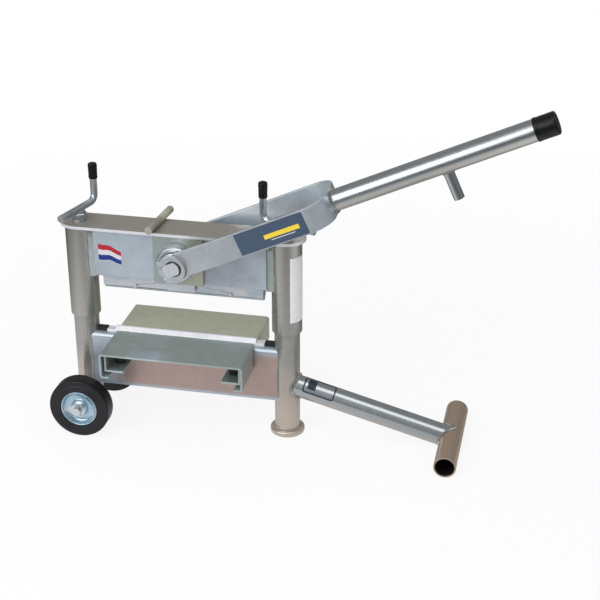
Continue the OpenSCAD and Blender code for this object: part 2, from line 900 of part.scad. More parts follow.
// RAM AND UPPER KNIFE

// Slide block with a slot for the eccentric
module ram() {
    color(zinc) placed() difference() {
        block([-ram_half, -ram_y, ram_low], [ram_half, ram_y, ram_low + ram_h]);
        translate([0, 0, ecc_z]) rotate([90, 0, 0]) linear_extrude(2 * ram_t, center = true)
            round_rect(2 * slot_half_w, 2 * slot_half_h, slot_half_h * slot_round_share);
    }
}

module ram_cheeks() {
    cheek_low = rock_z - rock_pin_d * cheek_edge_share;
    color(zinc) placed() front_and_rear() difference() {
        block([-cheek_w / 2, ram_y, cheek_low], [cheek_w / 2, ram_y + cheek_t, ram_low + cheek_lap]);
        translate([0, 0, rock_z]) bar_y(rock_pin_d, 0, 2 * ram_t);
    }
}

module rock_pin() {
    color(zinc) placed() translate([0, 0, rock_z]) bar_y(rock_pin_d, -ram_y - cheek_t, ram_y + cheek_t);
}

module knife_holder() {
    color(zinc) placed() difference() {
        block([-holder_half, -holder_w / 2, holder_low], [holder_half, holder_w / 2, holder_top]);
        block([-knife_len, -blade_w / 2, holder_low - over], [knife_len, blade_w / 2, holder_low + blade_seat]);
        translate([0, 0, rock_z]) bar_y(rock_pin_d + 2 * run_fit, -holder_w, holder_w);
        knife_bolt_places() bar_y(knife_bolt_d, -holder_w, holder_w);
    }
}

module knife_bolt_places() {
    left_and_right() translate([knife_bolt_gap / 2, 0, holder_low + blade_seat / 2]) children();
}

module upper_knife() {
    slope_z = blade_out * blade_slope_share;
    color(zinc) placed() difference() {
        translate([-holder_half, 0, knife_z]) rotate([90, 0, 90]) linear_extrude(knife_len) polygon([
            [-edge_land / 2, 0], [edge_land / 2, 0],
            [blade_w / 2, slope_z], [blade_w / 2, blade_out + blade_seat],
            [-blade_w / 2, blade_out + blade_seat], [-blade_w / 2, slope_z]
        ]);
        knife_bolt_places() bar_y(knife_bolt_d, -holder_w, holder_w);
    }
}

module knife_bolts() {
    head_d = knife_bolt_d * bolt_head_share;
    head_h = knife_bolt_d * bolt_head_h_share;
    color(zinc) placed() knife_bolt_places() {
        bar_y(knife_bolt_d, -holder_w / 2, holder_w / 2);
        front_and_rear() translate([0, -holder_w / 2, 0]) rotate([90, 0, 0]) hexagon(head_d, head_h);
    }
}

// WHEELS

// Turns a profile, drawn as radius and axial place, about a wheel's axle
module wheel_turned(side) {
    placed() translate([axle_x, side * hub_y, wheel_r]) rotate([90, 0, 0]) rotate_extrude() children();
}

module tyre(side) {
    color(rubber_black) wheel_turned(side) intersection() {
        translate([rim_d / 2, 0]) round_rect(2 * tyre_h, wheel_w, tyre_round);
        translate([rim_d / 2, -wheel_w]) square([tyre_h, 2 * wheel_w]);
    }
}

// Hub, dished disc and band in one outline
module rim(side) {
    band_r = rim_d / 2 - rim_t;
    hub_r = hub_d / 2;
    near_face = concat(
        [[axle_d / 2 + run_fit, hub_len / 2], [hub_r, hub_len / 2]],
        [for (p = dish_shares) [hub_r + p[0] * (band_r - hub_r), p[1] * rim_w / 2]],
        [[band_r, rim_w / 2], [rim_d / 2, rim_w / 2]]
    );
    far_face = [for (i = [len(near_face) - 1 : -1 : 0]) [near_face[i][0], -near_face[i][1]]];
    color(zinc) wheel_turned(side) polygon(concat(near_face, far_face));
}

module tyre_front() { tyre(-1); }
module rim_front() { rim(-1); }
module tyre_rear() { tyre(1); }
module rim_rear() { rim(1); }

post_left();
post_right();
foot_disc();
cross_beam();
support_tube();
tee_bar();
axle();
axle_spacers();
axle_washers();
cotter_pins();
table_front();
table_rear();
table_brackets();
table_mounts();
table_bolts();
lower_knife();
sleeve_buffers();
spindle_nuts();
top_plate();
sleeve_left();
sleeve_right();
side_plate_front();
side_plate_rear();
end_plate_left();
end_plate_right();
bearing_plate_front();
bearing_plate_rear();
bearing_boss_front();
bearing_boss_rear();
bush_front();
bush_rear();
ram_guide_left();
ram_guide_right();
lever_stop();
spindle_left();
collar_left();
crank_rod_left();
crank_grip_left();
spindle_right();
collar_right();
crank_rod_right();
crank_grip_right();
eccentric_shaft();
yoke();
yoke_jaws();
lever_tube();
lever_cap();
lever_peg();
ram();
ram_cheeks();
rock_pin();
knife_holder();
upper_knife();
knife_bolts();
tyre_front();
rim_front();
tyre_rear();
rim_rear();
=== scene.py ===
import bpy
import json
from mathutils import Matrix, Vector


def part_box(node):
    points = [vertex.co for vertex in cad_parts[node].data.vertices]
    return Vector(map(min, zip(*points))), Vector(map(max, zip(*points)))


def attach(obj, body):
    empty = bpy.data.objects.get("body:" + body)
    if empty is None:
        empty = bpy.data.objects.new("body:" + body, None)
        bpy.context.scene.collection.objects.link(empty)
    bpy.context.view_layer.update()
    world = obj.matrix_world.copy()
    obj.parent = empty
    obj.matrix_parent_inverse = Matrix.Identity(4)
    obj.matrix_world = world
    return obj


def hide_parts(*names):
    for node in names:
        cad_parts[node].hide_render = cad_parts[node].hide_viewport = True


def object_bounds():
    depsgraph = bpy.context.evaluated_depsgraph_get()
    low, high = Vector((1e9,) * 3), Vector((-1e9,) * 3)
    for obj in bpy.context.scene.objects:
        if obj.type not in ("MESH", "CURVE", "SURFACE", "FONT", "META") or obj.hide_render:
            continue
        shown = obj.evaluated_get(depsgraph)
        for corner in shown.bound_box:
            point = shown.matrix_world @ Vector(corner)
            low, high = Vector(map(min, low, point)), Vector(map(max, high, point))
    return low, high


bl_info = {
    "name": "Masonry block splitter",
    "version": (1, 0, 0),
    "blender": (4, 5, 0),
    "location": "View3D > Sidebar > Block splitter",
    "description": "Dresses a hand-lever block splitter: plated steel, welds, wheels, grips and decals",
    "category": "Add Mesh",
}

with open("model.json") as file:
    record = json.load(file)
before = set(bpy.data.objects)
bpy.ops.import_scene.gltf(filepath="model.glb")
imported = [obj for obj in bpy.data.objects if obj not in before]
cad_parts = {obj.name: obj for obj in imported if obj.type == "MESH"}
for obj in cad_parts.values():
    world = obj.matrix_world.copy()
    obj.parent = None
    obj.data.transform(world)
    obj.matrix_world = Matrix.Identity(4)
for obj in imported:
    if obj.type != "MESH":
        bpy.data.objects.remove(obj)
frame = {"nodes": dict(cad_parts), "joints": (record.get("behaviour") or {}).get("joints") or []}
cad_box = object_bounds()

import json
import math

import bmesh
import bpy
from bpy.props import FloatProperty, FloatVectorProperty, IntProperty, PointerProperty
from mathutils import Matrix, Vector

X_AXIS = Vector((1, 0, 0))
Y_AXIS = Vector((0, 1, 0))
Z_AXIS = Vector((0, 0, 1))
FULL_TURN = 2 * math.pi
# Vertices of a new piece that are closer than this are one vertex
MERGE = 1e-6
# Corners of a solid's triangles that are closer than this are joined
SEAM_GAP = 1e-5
# Which way the sides and the ends lie along Y and X
SIDES = {"front": -1, "rear": 1}
ENDS = {"left": -1, "right": 1}
# Angles in degrees past which an edge is shaded as sharp, or rounded
SHARP = 38
ROUNDED = 40

# Places read from the frame


def centre(node):
    low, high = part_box(node)
    return (low + high) / 2


def extent(node):
    low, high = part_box(node)
    return high - low


def top(node):
    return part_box(node)[1].z


def bottom(node):
    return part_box(node)[0].z


def foot(node):
    """Middle of a node's lowest face."""
    return Vector((*centre(node).xy, bottom(node)))


def joint_place(name):
    return Vector(next(j for j in frame["joints"] if j["name"] == name)["pos_m"])


def axes(along, across, origin):
    """Matrix with X along, Y across and Z square to both, moved to origin."""
    along = along.normalized()
    up = along.cross(across).normalized()
    turn = Matrix((along, up.cross(along), up)).transposed().to_4x4()
    return Matrix.Translation(origin) @ turn


def lever_frame():
    """X runs along the lever from the shaft, Y across the machine."""
    pivot = joint_place("lever_swing")
    return axes(centre("lever_tube") - pivot, Y_AXIS, pivot)


def in_lever(node):
    """Points of a node as the lever's frame has them."""
    inverse = lever_frame().inverted()
    return [inverse @ v.co for v in frame["nodes"][node].data.vertices]


def pointing(direction, origin):
    """Matrix that turns Z to a direction and moves it to origin."""
    return Matrix.Translation(origin) @ Z_AXIS.rotation_difference(direction).to_matrix().to_4x4()


def setting(name):
    return getattr(bpy.context.scene, "splitter_" + name)


# Settings


def colour(name, description, value):
    return FloatVectorProperty(name=name, description=description, default=value, subtype="COLOR",
                               size=3, min=0, max=1)


def length(name, description, value):
    return FloatProperty(name=name, description=description, default=value, unit="LENGTH", precision=4)


def factor(name, description, value):
    return FloatProperty(name=name, description=description, default=value, subtype="FACTOR", min=0, max=1)


def angle(name, description, degrees):
    return FloatProperty(name=name, description=description, default=math.radians(degrees), subtype="ANGLE")


class SplitterSteel(bpy.types.PropertyGroup):
    # On the side plates this bluish tone is partly their own and partly painted reflection
    cool: colour("Cool tint", "Bluish zinc of the side plates", (0.47, 0.54, 0.61))
    lilac: colour("Lilac tint", "Zinc with a violet cast on the yoke", (0.52, 0.555, 0.60))
    # Painted light: pale tint that stands in for the highlight on the yoke's bend and lightens its shaded
    # rear arm
    pale_painted_light: colour("Frost tint", "Paler zinc on the bend and the rear arm of the yoke", (0.79, 0.88, 0.95))
    shade: colour("Shade tint", "Duller patches of the side plates", (0.39, 0.42, 0.475))
    olive: colour("Olive tint", "Zinc with a yellow passivated cast", (0.70, 0.72, 0.56))
    drab: colour("Drab tint", "Yellow patches of the bearing plates", (0.46, 0.465, 0.37))
    rose: colour("Rose tint", "Zinc with a pink passivated cast", (0.46, 0.345, 0.32))
    # On the top plate this brown tone is partly its own and partly painted reflection
    umber: colour("Umber tint", "Zinc with a brown cast on flat tops", (0.40, 0.37, 0.33))
    grey: colour("Grey tint", "Neutral zinc of the drawn tubes", (0.43, 0.42, 0.40))
    iron: colour("Iron tint", "Duller zinc high on the posts", (0.36, 0.355, 0.335))
    sand: colour("Sand tint", "Warm zinc low on the posts", (0.62, 0.54, 0.475))
    moss: colour("Moss tint", "Green grey zinc of the front table and the end plates", (0.37, 0.43, 0.41))
    slate: colour("Slate tint", "Duller zinc of the bearing plates", (0.36, 0.40, 0.40))
    tan: colour("Tan tint", "Brown zinc of the T bar", (0.42, 0.322, 0.24))
    # Painted shade: near black that stands in for the shade inside the T bar's bore
    bore_shade: colour("Bore", "Dark bare steel inside the T bar", (0.035, 0.03, 0.026))
    # Own tint of the lever and support tubes, which turns to a painted warm reflection on their undersides
    pearl: colour("Pearl tint", "Bright cool zinc on top of the lever and support tubes", (0.49, 0.53, 0.56))
    # Painted reflection: warm tint of the ground mirrored under the lever and support tubes
    warm_reflection: colour("Cream tint", "Warmer zinc under the lever and support tubes", (0.60, 0.585, 0.555))
    bright: colour("Bright tint", "Turned and freshly plated metal", (0.62, 0.67, 0.70))
    # Pale tint: painted highlight on the top plate's upright edges, and the own colour of the lower knife
    rim: colour("Cut edge", "Pale edge that shears leave on a plate", (0.86, 0.87, 0.92))
    blade: colour("Knife steel", "Ground steel of the knives", (0.60, 0.63, 0.67))
    bronze: colour("Bearing bronze", "Turned bushes and nuts", (0.52, 0.37, 0.17))
    buffer: colour("Buffer rubber", "Black rubber of the table mounts and buffers", (0.02, 0.02, 0.021))
    roughness: factor("Roughness", "Mean roughness of the plating", 0.34)
    drawn: factor("Tube roughness", "Mean roughness of drawn tubes", 0.27)
    bare: factor("Bare share", "Share of mirror shine in satin plating", 0.6)
    edge: length("Edge round", "Rounding of plate and bar edges", 0.0008)


class SplitterWheels(bpy.types.PropertyGroup):
    rubber: colour("Tyre rubber", "Solid black tyre", (0.0042, 0.0038, 0.0064))
    disc: colour("Disc zinc", "Bright blue passivated wheel discs", (0.40, 0.55, 0.66))
    grooves: IntProperty(name="Tread grooves", description="Grooves round each tread", default=3)
    groove_w: length("Groove width", "Width of a tread groove", 0.0018)
    groove_d: length("Groove depth", "Depth of a tread groove", 0.0011)
    rib: length("Sidewall rib", "Height of the rings moulded on the sidewalls", 0.0011)
    disc_round: length("Disc round", "Rounding of the bends of a wheel disc", 0.0022)


class SplitterGrips(bpy.types.PropertyGroup):
    plastic: colour("Plastic", "Black moulded grips and cap", (0.0045, 0.0045, 0.005))
    mouth: length("Mouth bead", "Height of the bead round the lever cap's mouth", 0.005)
    cap_round: length("Cap round", "Rounding of the lever cap's edges", 0.0024)
    grip_round: length("Grip round", "Rounding of the crank grips' edges", 0.0030)


class SplitterFasteners(bpy.types.PropertyGroup):
    nut_bore: length("Nut bore", "Radius of the hole in the nuts under the cranks", 0.0102)
    washer_round: length("Washer round", "Rounding of the washers under those nuts", 0.0005)
    wire: length("Pin wire", "Radius of a split pin's wire", 0.0011)
    eye: length("Pin eye", "Radius of the eye of a split pin", 0.0034)
    leg_gap: length("Leg gap", "Distance of a split pin's leg from its middle", 0.0010)


class SplitterWelds(bpy.types.PropertyGroup):
    seam: colour("Weld", "Zinc plated weld metal", (0.33, 0.335, 0.33))
    thick: length("Thick bead", "Radius of the beads on the load carrying tubes", 0.0037)
    thin: length("Thin bead", "Radius of the beads on plates and small rods", 0.0019)
    ripple: length("Ripple", "Distance between the ripples of a bead", 0.0028)
    support_rise: length("Support rise", "Height where the support tube's axis meets the post", 0.112)
    crank_r: length("Crank seam", "Radius of the bead round the foot of a crank rod", 0.0098)
    crank_drop: length("Crank drop", "Depth of that bead below the spindle's top", 0.001)


class SplitterDecals(bpy.types.PropertyGroup):
    navy: colour("Navy film", "Plain film on the front arm of the yoke", (0.055, 0.085, 0.138))
    yellow: colour("Yellow film", "Plain stripe on the navy film", (0.80, 0.60, 0.05))
    pale: colour("Pale film", "Plain film on the right sleeve", (0.80, 0.80, 0.82))
    red: colour("Red film", "Upper stripe of the small tricolour", (0.41, 0.014, 0.032))
    blue: colour("Blue film", "Lower stripe of the small tricolour", (0.010, 0.032, 0.215))
    white: colour("White film", "Middle stripe of the small tricolour", (0.60, 0.60, 0.64))
    dark: colour("Dark film", "Plain frame and block on the support tube", (0.01925, 0.02975, 0.0483))
    film: length("Film", "Thickness of the films", 0.0002)
    band_from: length("Band start", "Distance from the shaft to the navy film", 0.144)
    band_to: length("Band end", "Distance from the shaft to the end of the navy film", 0.2875)
    band_half: length("Band height", "Half the height of the navy film", 0.0222)
    wrap_from: angle("Wrap start", "Turn of the pale film's left edge round the sleeve, from the front", 24)
    wrap: angle("Wrap", "Turn that the pale film takes up", 80)
    wrap_low: length("Wrap foot", "Height of the pale film's lower edge", 0.258)
    wrap_high: length("Wrap height", "Height of the pale film itself", 0.138)
    frame_from: length("Frame place", "Distance from the post's axis to the frame's middle", 0.067)
    frame_turn: angle("Frame turn", "Turn of the frame's middle round the support tube, from the front", 52.5)
    frame_w: length("Frame width", "Length of the frame along the support tube", 0.066)
    frame_h: length("Frame height", "Height of the frame round the support tube", 0.0359)
    frame_band: length("Frame band", "Width of the frame's line", 0.0029)
    frame_round: length("Frame round", "Outer corner radius of the frame", 0.006)
    block_w: length("Block width", "Length of the plain block in the frame", 0.0170)
    block_h: length("Block height", "Height of the plain block round the support tube", 0.0225)
    block_shift: length("Block shift", "Place of the block along the tube from the frame's middle", -0.0160)
    block_rise: length("Block rise", "Place of the block round the tube from the frame's middle", 0.0025)
    flag_in: length("Flag place", "Distance of the tricolour from the side plate's left edge", 0.0095)
    flag_top: length("Flag top", "Height of the tricolour's upper left corner", 0.3941)
    flag_w: length("Flag width", "Length of the tricolour", 0.047)
    flag_h: length("Flag height", "Height of the tricolour at its left edge", 0.0337)
    flag_taper: length("Flag taper", "Height that the tricolour loses towards its right edge", 0.0067)
    flag_wave: length("Flag wave", "Height of the tricolour's wave", 0.0042)
    flag_fall: length("Flag fall", "Drop of the tricolour's right edge", 0.0139)


class SplitterStage(bpy.types.PropertyGroup):
    camera: FloatVectorProperty(name="Camera", description="Place of the camera", subtype="XYZ",
                                unit="LENGTH", default=(0.522035, -2.4282, 1.4813))
    tilt: FloatProperty(name="Tilt", description="Tilt of the camera below the horizontal", default=0.445,
                        subtype="ANGLE")
    turn: FloatProperty(name="Turn", description="Turn of the camera to the left", default=0.208,
                        subtype="ANGLE")
    lens: FloatProperty(name="Lens", description="Focal length", default=84, unit="CAMERA")
    floor: colour("Floor", "Pale paper floor", (0.86, 0.86, 0.86))
    shadow: factor("Shadow", "Share of the floor's own shading that the camera sees", 0.12)
    ambient: FloatProperty(name="Ambient", description="Strength of the soft light all round", default=0.60)
    key: FloatProperty(name="Key", description="Power of the overhead softbox", default=17, unit="POWER")
    fill: FloatProperty(name="Fill", description="Power of the softbox on the left", default=34, unit="POWER")


# Mesh tools


def rounded(points, radius, steps=4):
    """Outline whose inner corners are turned into small curves."""
    points = [Vector(p) for p in points]
    out = [points[0]]
    for before, corner, after in zip(points, points[1:], points[2:]):
        start = corner + (before - corner).normalized() * min(radius, (before - corner).length / 2)
        end = corner + (after - corner).normalized() * min(radius, (after - corner).length / 2)
        for i in range(steps + 1):
            t = i / steps
            out.append(start.lerp(corner, t).lerp(corner.lerp(end, t), t))
    out.append(points[-1])
    return out


def turned(bm, outline, place, steps=72):
    """Spins a closed outline of radius and height about Z and puts it in place."""
    old = set(bm.verts)
    verts = [bm.verts.new((r, 0, h)) for r, h in outline]
    edges = [bm.edges.new(pair) for pair in zip(verts, verts[1:] + verts[:1])]
    bmesh.ops.spin(bm, geom=verts + edges, cent=(0, 0, 0), axis=Z_AXIS, angle=FULL_TURN, steps=steps,
                   use_merge=True)
    fresh = [v for v in bm.verts if v not in old]
    bmesh.ops.transform(bm, matrix=place, verts=fresh)


def ring(bm, sides, radius, height):
    """Edges of a level polygon about Z."""
    made = bmesh.ops.create_circle(bm, cap_ends=False, segments=sides, radius=radius,
                                   matrix=Matrix.Translation((0, 0, height)))
    return list({e for v in made["verts"] for e in v.link_edges})


def skinned(bm, rings):
    """Joins each ring of edges to the next, and the last to the first."""
    for a, b in zip(rings, rings[1:] + rings[:1]):
        bmesh.ops.bridge_loops(bm, edges=a + b)


def swept(bm, points, radius, closed=False, ripple=0.0, sides=2):
    """Lays a round bead along points, with its thickness waving from point to point."""
    curve = bpy.data.curves.new("path", "CURVE")
    curve.dimensions = "3D"
    curve.bevel_depth = radius
    curve.bevel_resolution = sides
    curve.use_fill_caps = not closed
    spline = curve.splines.new("POLY")
    spline.points.add(len(points) - 1)
    spline.use_cyclic_u = closed
    for i, (knot, place) in enumerate(zip(spline.points, points)):
        knot.co = (*place, 1)
        knot.radius = 1 + ripple * math.cos(i * math.pi / 2)
    holder = bpy.data.objects.new("path", curve)
    bpy.context.scene.collection.objects.link(holder)
    bpy.context.view_layer.update()
    mesh = bpy.data.meshes.new_from_object(holder.evaluated_get(bpy.context.evaluated_depsgraph_get()))
    bm.from_mesh(mesh)
    bpy.data.objects.remove(holder)
    bpy.data.curves.remove(curve)
    bpy.data.meshes.remove(mesh)


def piece(name, bm, body, material, stands_for=(), sharp=SHARP):
    """Closes a bmesh into an object that rides on a body."""
    bmesh.ops.remove_doubles(bm, verts=bm.verts, dist=MERGE)
    bmesh.ops.recalc_face_normals(bm, faces=bm.faces)
    mesh = bpy.data.meshes.new(name)
    bm.to_mesh(mesh)
    bm.free()
    mesh.shade_smooth()
    mesh.set_sharp_from_angle(angle=math.radians(sharp))
    mesh.materials.append(material)
    obj = bpy.data.objects.new(name, mesh)
    bpy.context.scene.collection.objects.link(obj)
    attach(obj, body)
    if stands_for:
        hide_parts(*stands_for)
    return obj


# Materials


def grade(ramp, stops):
    """Gives a ramp node its colours by place."""
    elements = ramp.color_ramp.elements
    while len(elements) < len(stops):
        elements.new(0.5)
    for element, (place, tint) in zip(elements, stops):
        element.position = place
        element.color = (*tint, 1)


class Shading:
    """One material and short hands for its nodes."""

    def __init__(self, name):
        self.material = bpy.data.materials.new(name)
        self.material.use_nodes = True
        self.tree = self.material.node_tree
        self.shader = self.tree.nodes["Principled BSDF"]
        self.place = self.node("ShaderNodeTexCoord").outputs["Object"]

    def put(self, socket, value):
        if isinstance(value, bpy.types.NodeSocket):
            self.tree.links.new(value, socket)
        else:
            socket.default_value = value

    def node(self, kind, sockets=(), **options):
        made = self.tree.nodes.new(kind)
        for key, value in options.items():
            setattr(made, key, value)
        for key, value in dict(sockets).items():
            self.put(made.inputs[key], value)
        return made

    def moved(self, scale=(1, 1, 1), turn=(0, 0, 0), shift=(0, 0, 0)):
        return self.node("ShaderNodeMapping", {"Vector": self.place, "Scale": scale, "Rotation": turn,
                                               "Location": shift}).outputs["Vector"]

    def noise(self, vector, scale, detail=3.0, roughness=0.5, distortion=0.0):
        return self.node("ShaderNodeTexNoise", {"Vector": vector, "Scale": scale, "Detail": detail,
                                                "Roughness": roughness,
                                                "Distortion": distortion}).outputs["Fac"]

    def between(self, value, low, high, start=0.3, end=0.7):
        """Stretches the middle of a noise over a range."""
        return self.node("ShaderNodeMapRange", {"Value": value, "From Min": start, "From Max": end,
                                                "To Min": low, "To Max": high}).outputs["Result"]

    def sums(self, a, b, operation="ADD"):
        return self.node("ShaderNodeMath", {0: a, 1: b}, operation=operation).outputs[0]

    def upward(self):
        """1 where a surface looks up, 0 where it stands."""
        facing = self.node("ShaderNodeTexCoord").outputs["Normal"]
        return self.node("ShaderNodeSeparateXYZ", {0: facing}).outputs["Z"]

    def along(self, axis):
        return self.node("ShaderNodeSeparateXYZ", {0: self.place}).outputs[axis]

    def ramp(self, value, stops):
        made = self.node("ShaderNodeValToRGB", {"Fac": value})
        grade(made, stops)
        return made.outputs["Color"]

    def shaded(self, tint, amount):
        """Multiplies a colour by a grey value."""
        mix = self.node("ShaderNodeMix", data_type="RGBA", blend_type="MULTIPLY")
        mix.inputs["Factor"].default_value = 1
        self.put(mix.inputs["A"], tint)
        self.put(mix.inputs["B"], amount)
        return mix.outputs["Result"]

    def bump(self, height, strength, distance):
        made = self.node("ShaderNodeBump", {"Height": height, "Strength": strength, "Distance": distance})
        self.put(self.shader.inputs["Normal"], made.outputs["Normal"])


# Plating: places of its three tints on their ramp
FIRST_TINT = 0.34
MIDDLE_TINT = 0.50
LAST_TINT = 0.66
# Scales of its dull patches against its clouds of tint, of its drawing lines and of its grain
PATCH_SCALE = 5.5
LINE_SCALE = (6, 420, 420)
GRAIN_SCALE = 1400
# Upward looks of a surface between which the painted highlight on the top plate's upright edges and the
# painted warm reflection under the tubes set in
HIGHLIGHT_FACING = (0.2, 0.8)
BELLY_FACING = (-0.35, 0.25)
# Shares of the T bar's radius between which the painted shade in its bore sets in
BORE_SHARES = (0.857, 0.875)
# Yoke: where its painted light sets in, from the end of the navy film, and the share of an arm that it leaves
YOKE_LIGHT_START = (-0.02, 0.015)
YOKE_LIGHT_SHARE = 0.96
# Cross beam: distances from its middle, heights, and heights above its lower edge where its painted
# reflection and edge highlights set in
BEAM_END = (-0.16, -0.125)
BEAM_TOP = (0.172, 0.186)
BEAM_EDGE = (0.003, 0.008)
# Heights between which the posts' sand tint fades, and the tint's place above them
SAND_HEIGHTS = (0.05, 0.30)
SAND_TOP_TINT = 0.36


def zinc(name, tints, turn=(0, 0, 0), clouds=9.0, roughness=None, shift=(0, 0, 0), mottle=0.6, blend=None,
         metal=None):
    """Zinc plate: chromate tints drifting in clouds, in places laid out by a blend as painted light and
    shade, with dull patches and fine drawing lines along local X.
    """
    s = Shading(name)
    roughness = setting("steel").roughness if roughness is None else roughness
    drift = blend(s) if blend else s.noise(s.moved(shift=shift), clouds, 3, 0.55, 0.4)
    patches = s.noise(s.moved(shift=shift), clouds * PATCH_SCALE, 5, 0.6, 0.8)
    lines = s.noise(s.moved(scale=LINE_SCALE, turn=turn), 1.0, 2, 0.6)
    grain = s.noise(s.place, GRAIN_SCALE, 2, 0.5)
    tint = s.ramp(drift, list(zip((FIRST_TINT, MIDDLE_TINT, LAST_TINT), tints)))
    tone = s.between(patches, 1 - 0.14 * mottle, 1 + 0.07 * mottle)
    tone = s.sums(tone, s.between(lines, 1 - 0.05 * mottle, 1 + 0.04 * mottle), "MULTIPLY")
    s.put(s.shader.inputs["Base Color"], s.shaded(tint, tone))
    s.shader.inputs["Metallic"].default_value = setting("steel").bare if metal is None else metal
    rough = s.sums(s.between(patches, roughness - 0.07 * mottle, roughness + 0.08 * mottle),
                   s.between(lines, -0.03 * mottle, 0.04 * mottle))
    s.put(s.shader.inputs["Roughness"], rough)
    s.bump(s.sums(s.sums(lines, 0.6, "MULTIPLY"), grain), 0.13 * mottle ** 2, 0.0002)
    return s.material


def moulded(name, tint, roughness, mottling, grain_scale, grain_depth, gloss=0.3):
    """Rubber or plastic with a faint mottle and a fine moulded grain."""
    s = Shading(name)
    s.shader.inputs["Specular IOR Level"].default_value = gloss
    cloud = s.noise(s.place, 55, 4, 0.6)
    grain = s.noise(s.place, grain_scale, 3, 0.6)
    tone = s.between(cloud, 1 - mottling, 1 + mottling)
    s.put(s.shader.inputs["Base Color"], s.shaded((*tint, 1), tone))
    s.put(s.shader.inputs["Roughness"], s.between(cloud, roughness - 0.07, roughness + 0.07))
    s.bump(grain, 0.25, grain_depth)
    return s.material


def film(name, tint, roughness):
    """Printed film with a faint print mottle and rubbed spots."""
    s = Shading(name)
    s.shader.inputs["Specular IOR Level"].default_value = 0.3
    rubbed = s.noise(s.place, 160, 4, 0.65)
    s.put(s.shader.inputs["Base Color"], s.shaded((*tint, 1), s.between(rubbed, 0.93, 1.06)))
    s.put(s.shader.inputs["Roughness"], s.between(rubbed, roughness - 0.06, roughness + 0.10))
    s.bump(s.noise(s.place, 900, 2, 0.5), 0.06, 0.0001)
    return s.material


def dress(node, material, edge=0.0):
    """Gives a solid its finish, smooth round faces and softened edges."""
    obj = frame["nodes"][node]
    mesh = obj.data
    mesh.materials.clear()
    mesh.materials.append(material)
    if "custom_normal" in mesh.attributes:
        mesh.attributes.remove(mesh.attributes["custom_normal"])
    mesh.shade_smooth()
    joined = obj.modifiers.new("joined", "WELD")
    joined.merge_threshold = SEAM_GAP
    if edge:
        soft = obj.modifiers.new("soft edges", "BEVEL")
        soft.width = edge
        soft.segments = 2
        soft.limit_method = "ANGLE"
        soft.angle_limit = math.radians(ROUNDED)
        soft.harden_normals = True
    else:
        split = obj.modifiers.new("sharp edges", "EDGE_SPLIT")
        split.split_angle = math.radians(SHARP)


# Where one tint of the plating gives way to another, most of them painting light, shade and reflections


def painted_edge_highlight(s):
    """Top plate: painted highlight, pale on its upright edges."""
    return s.between(s.upward(), LAST_TINT, FIRST_TINT, *HIGHLIGHT_FACING)


def painted_warm_reflection_below(s):
    """Lever and support tubes: painted warm reflection of the ground on their undersides."""
    return s.between(s.upward(), LAST_TINT, FIRST_TINT, *BELLY_FACING)


def painted_bore_shade(s):
    """T bar: painted shade inside its bore."""
    middle, radius = centre("tee_bar"), extent("tee_bar").x / 2
    beside = s.moved(shift=-middle, scale=(1, 0, 1))
    reach = s.node("ShaderNodeVectorMath", {0: beside}, operation="LENGTH").outputs["Value"]
    return s.between(reach, LAST_TINT, FIRST_TINT, *(share * radius for share in BORE_SHARES))


def painted_yoke_light(s):
    """Yoke: painted light, paler past the end of its film for the bend's highlight and towards its shaded
    rear arm.
    """
    lever = lever_frame()
    way = lever.to_3x3() @ X_AXIS
    film_end = way.dot(lever.translation) + setting("decals").band_to
    arm = extent("yoke").y / 2
    far = s.node("ShaderNodeVectorMath", {0: s.place, 1: way}, operation="DOT_PRODUCT").outputs["Value"]
    bend = s.between(far, FIRST_TINT, MIDDLE_TINT, *(film_end + step for step in YOKE_LIGHT_START))
    rear = s.between(s.along("Y"), FIRST_TINT, MIDDLE_TINT, -YOKE_LIGHT_SHARE * arm, 0)
    drift = s.between(s.noise(s.place, 9), -0.04, 0.04)
    return s.sums(s.sums(bend, rear, "MAXIMUM"), drift)


def painted_beam_reflection(s):
    """Cross beam: painted reflection, bluish at its left end, and painted highlight along its top and on its
    lower edge.
    """
    middle, low = centre("cross_beam").x, bottom("cross_beam")
    side = s.between(s.along("X"), LAST_TINT, MIDDLE_TINT, *(middle + step for step in BEAM_END))
    upper = s.between(s.along("Z"), MIDDLE_TINT, LAST_TINT, *BEAM_TOP)
    lower = s.between(s.along("Z"), LAST_TINT, MIDDLE_TINT, *(low + step for step in BEAM_EDGE))
    return s.sums(side, s.sums(upper, lower, "MAXIMUM"), "MAXIMUM")


def sand_low(s):
    """Posts and sleeves: warmer towards the ground."""
    drift = s.between(s.noise(s.place, 7, 2), -0.05, 0.05)
    return s.sums(s.between(s.along("Z"), LAST_TINT, SAND_TOP_TINT, *SAND_HEIGHTS), drift)


# Solids whose edges stay as they are
UNBEVELLED = {"top_plate", "rock_pin", "spindle_nuts", "bush_front", "bush_rear", "support_tube", "lever_peg"}
# Turns of the drawing lines, which run along X by themselves
UPRIGHT = (0, math.radians(90), 0)
ACROSS = (0, 0, math.radians(90))


def lever_turn():
    """Turn of the drawing lines along the lever."""
    return (0, -lever_frame().to_euler().y, 0)


def tones(*names):
    """Tints of the plating by name."""
    return [tuple(getattr(setting("steel"), name)) for name in names]


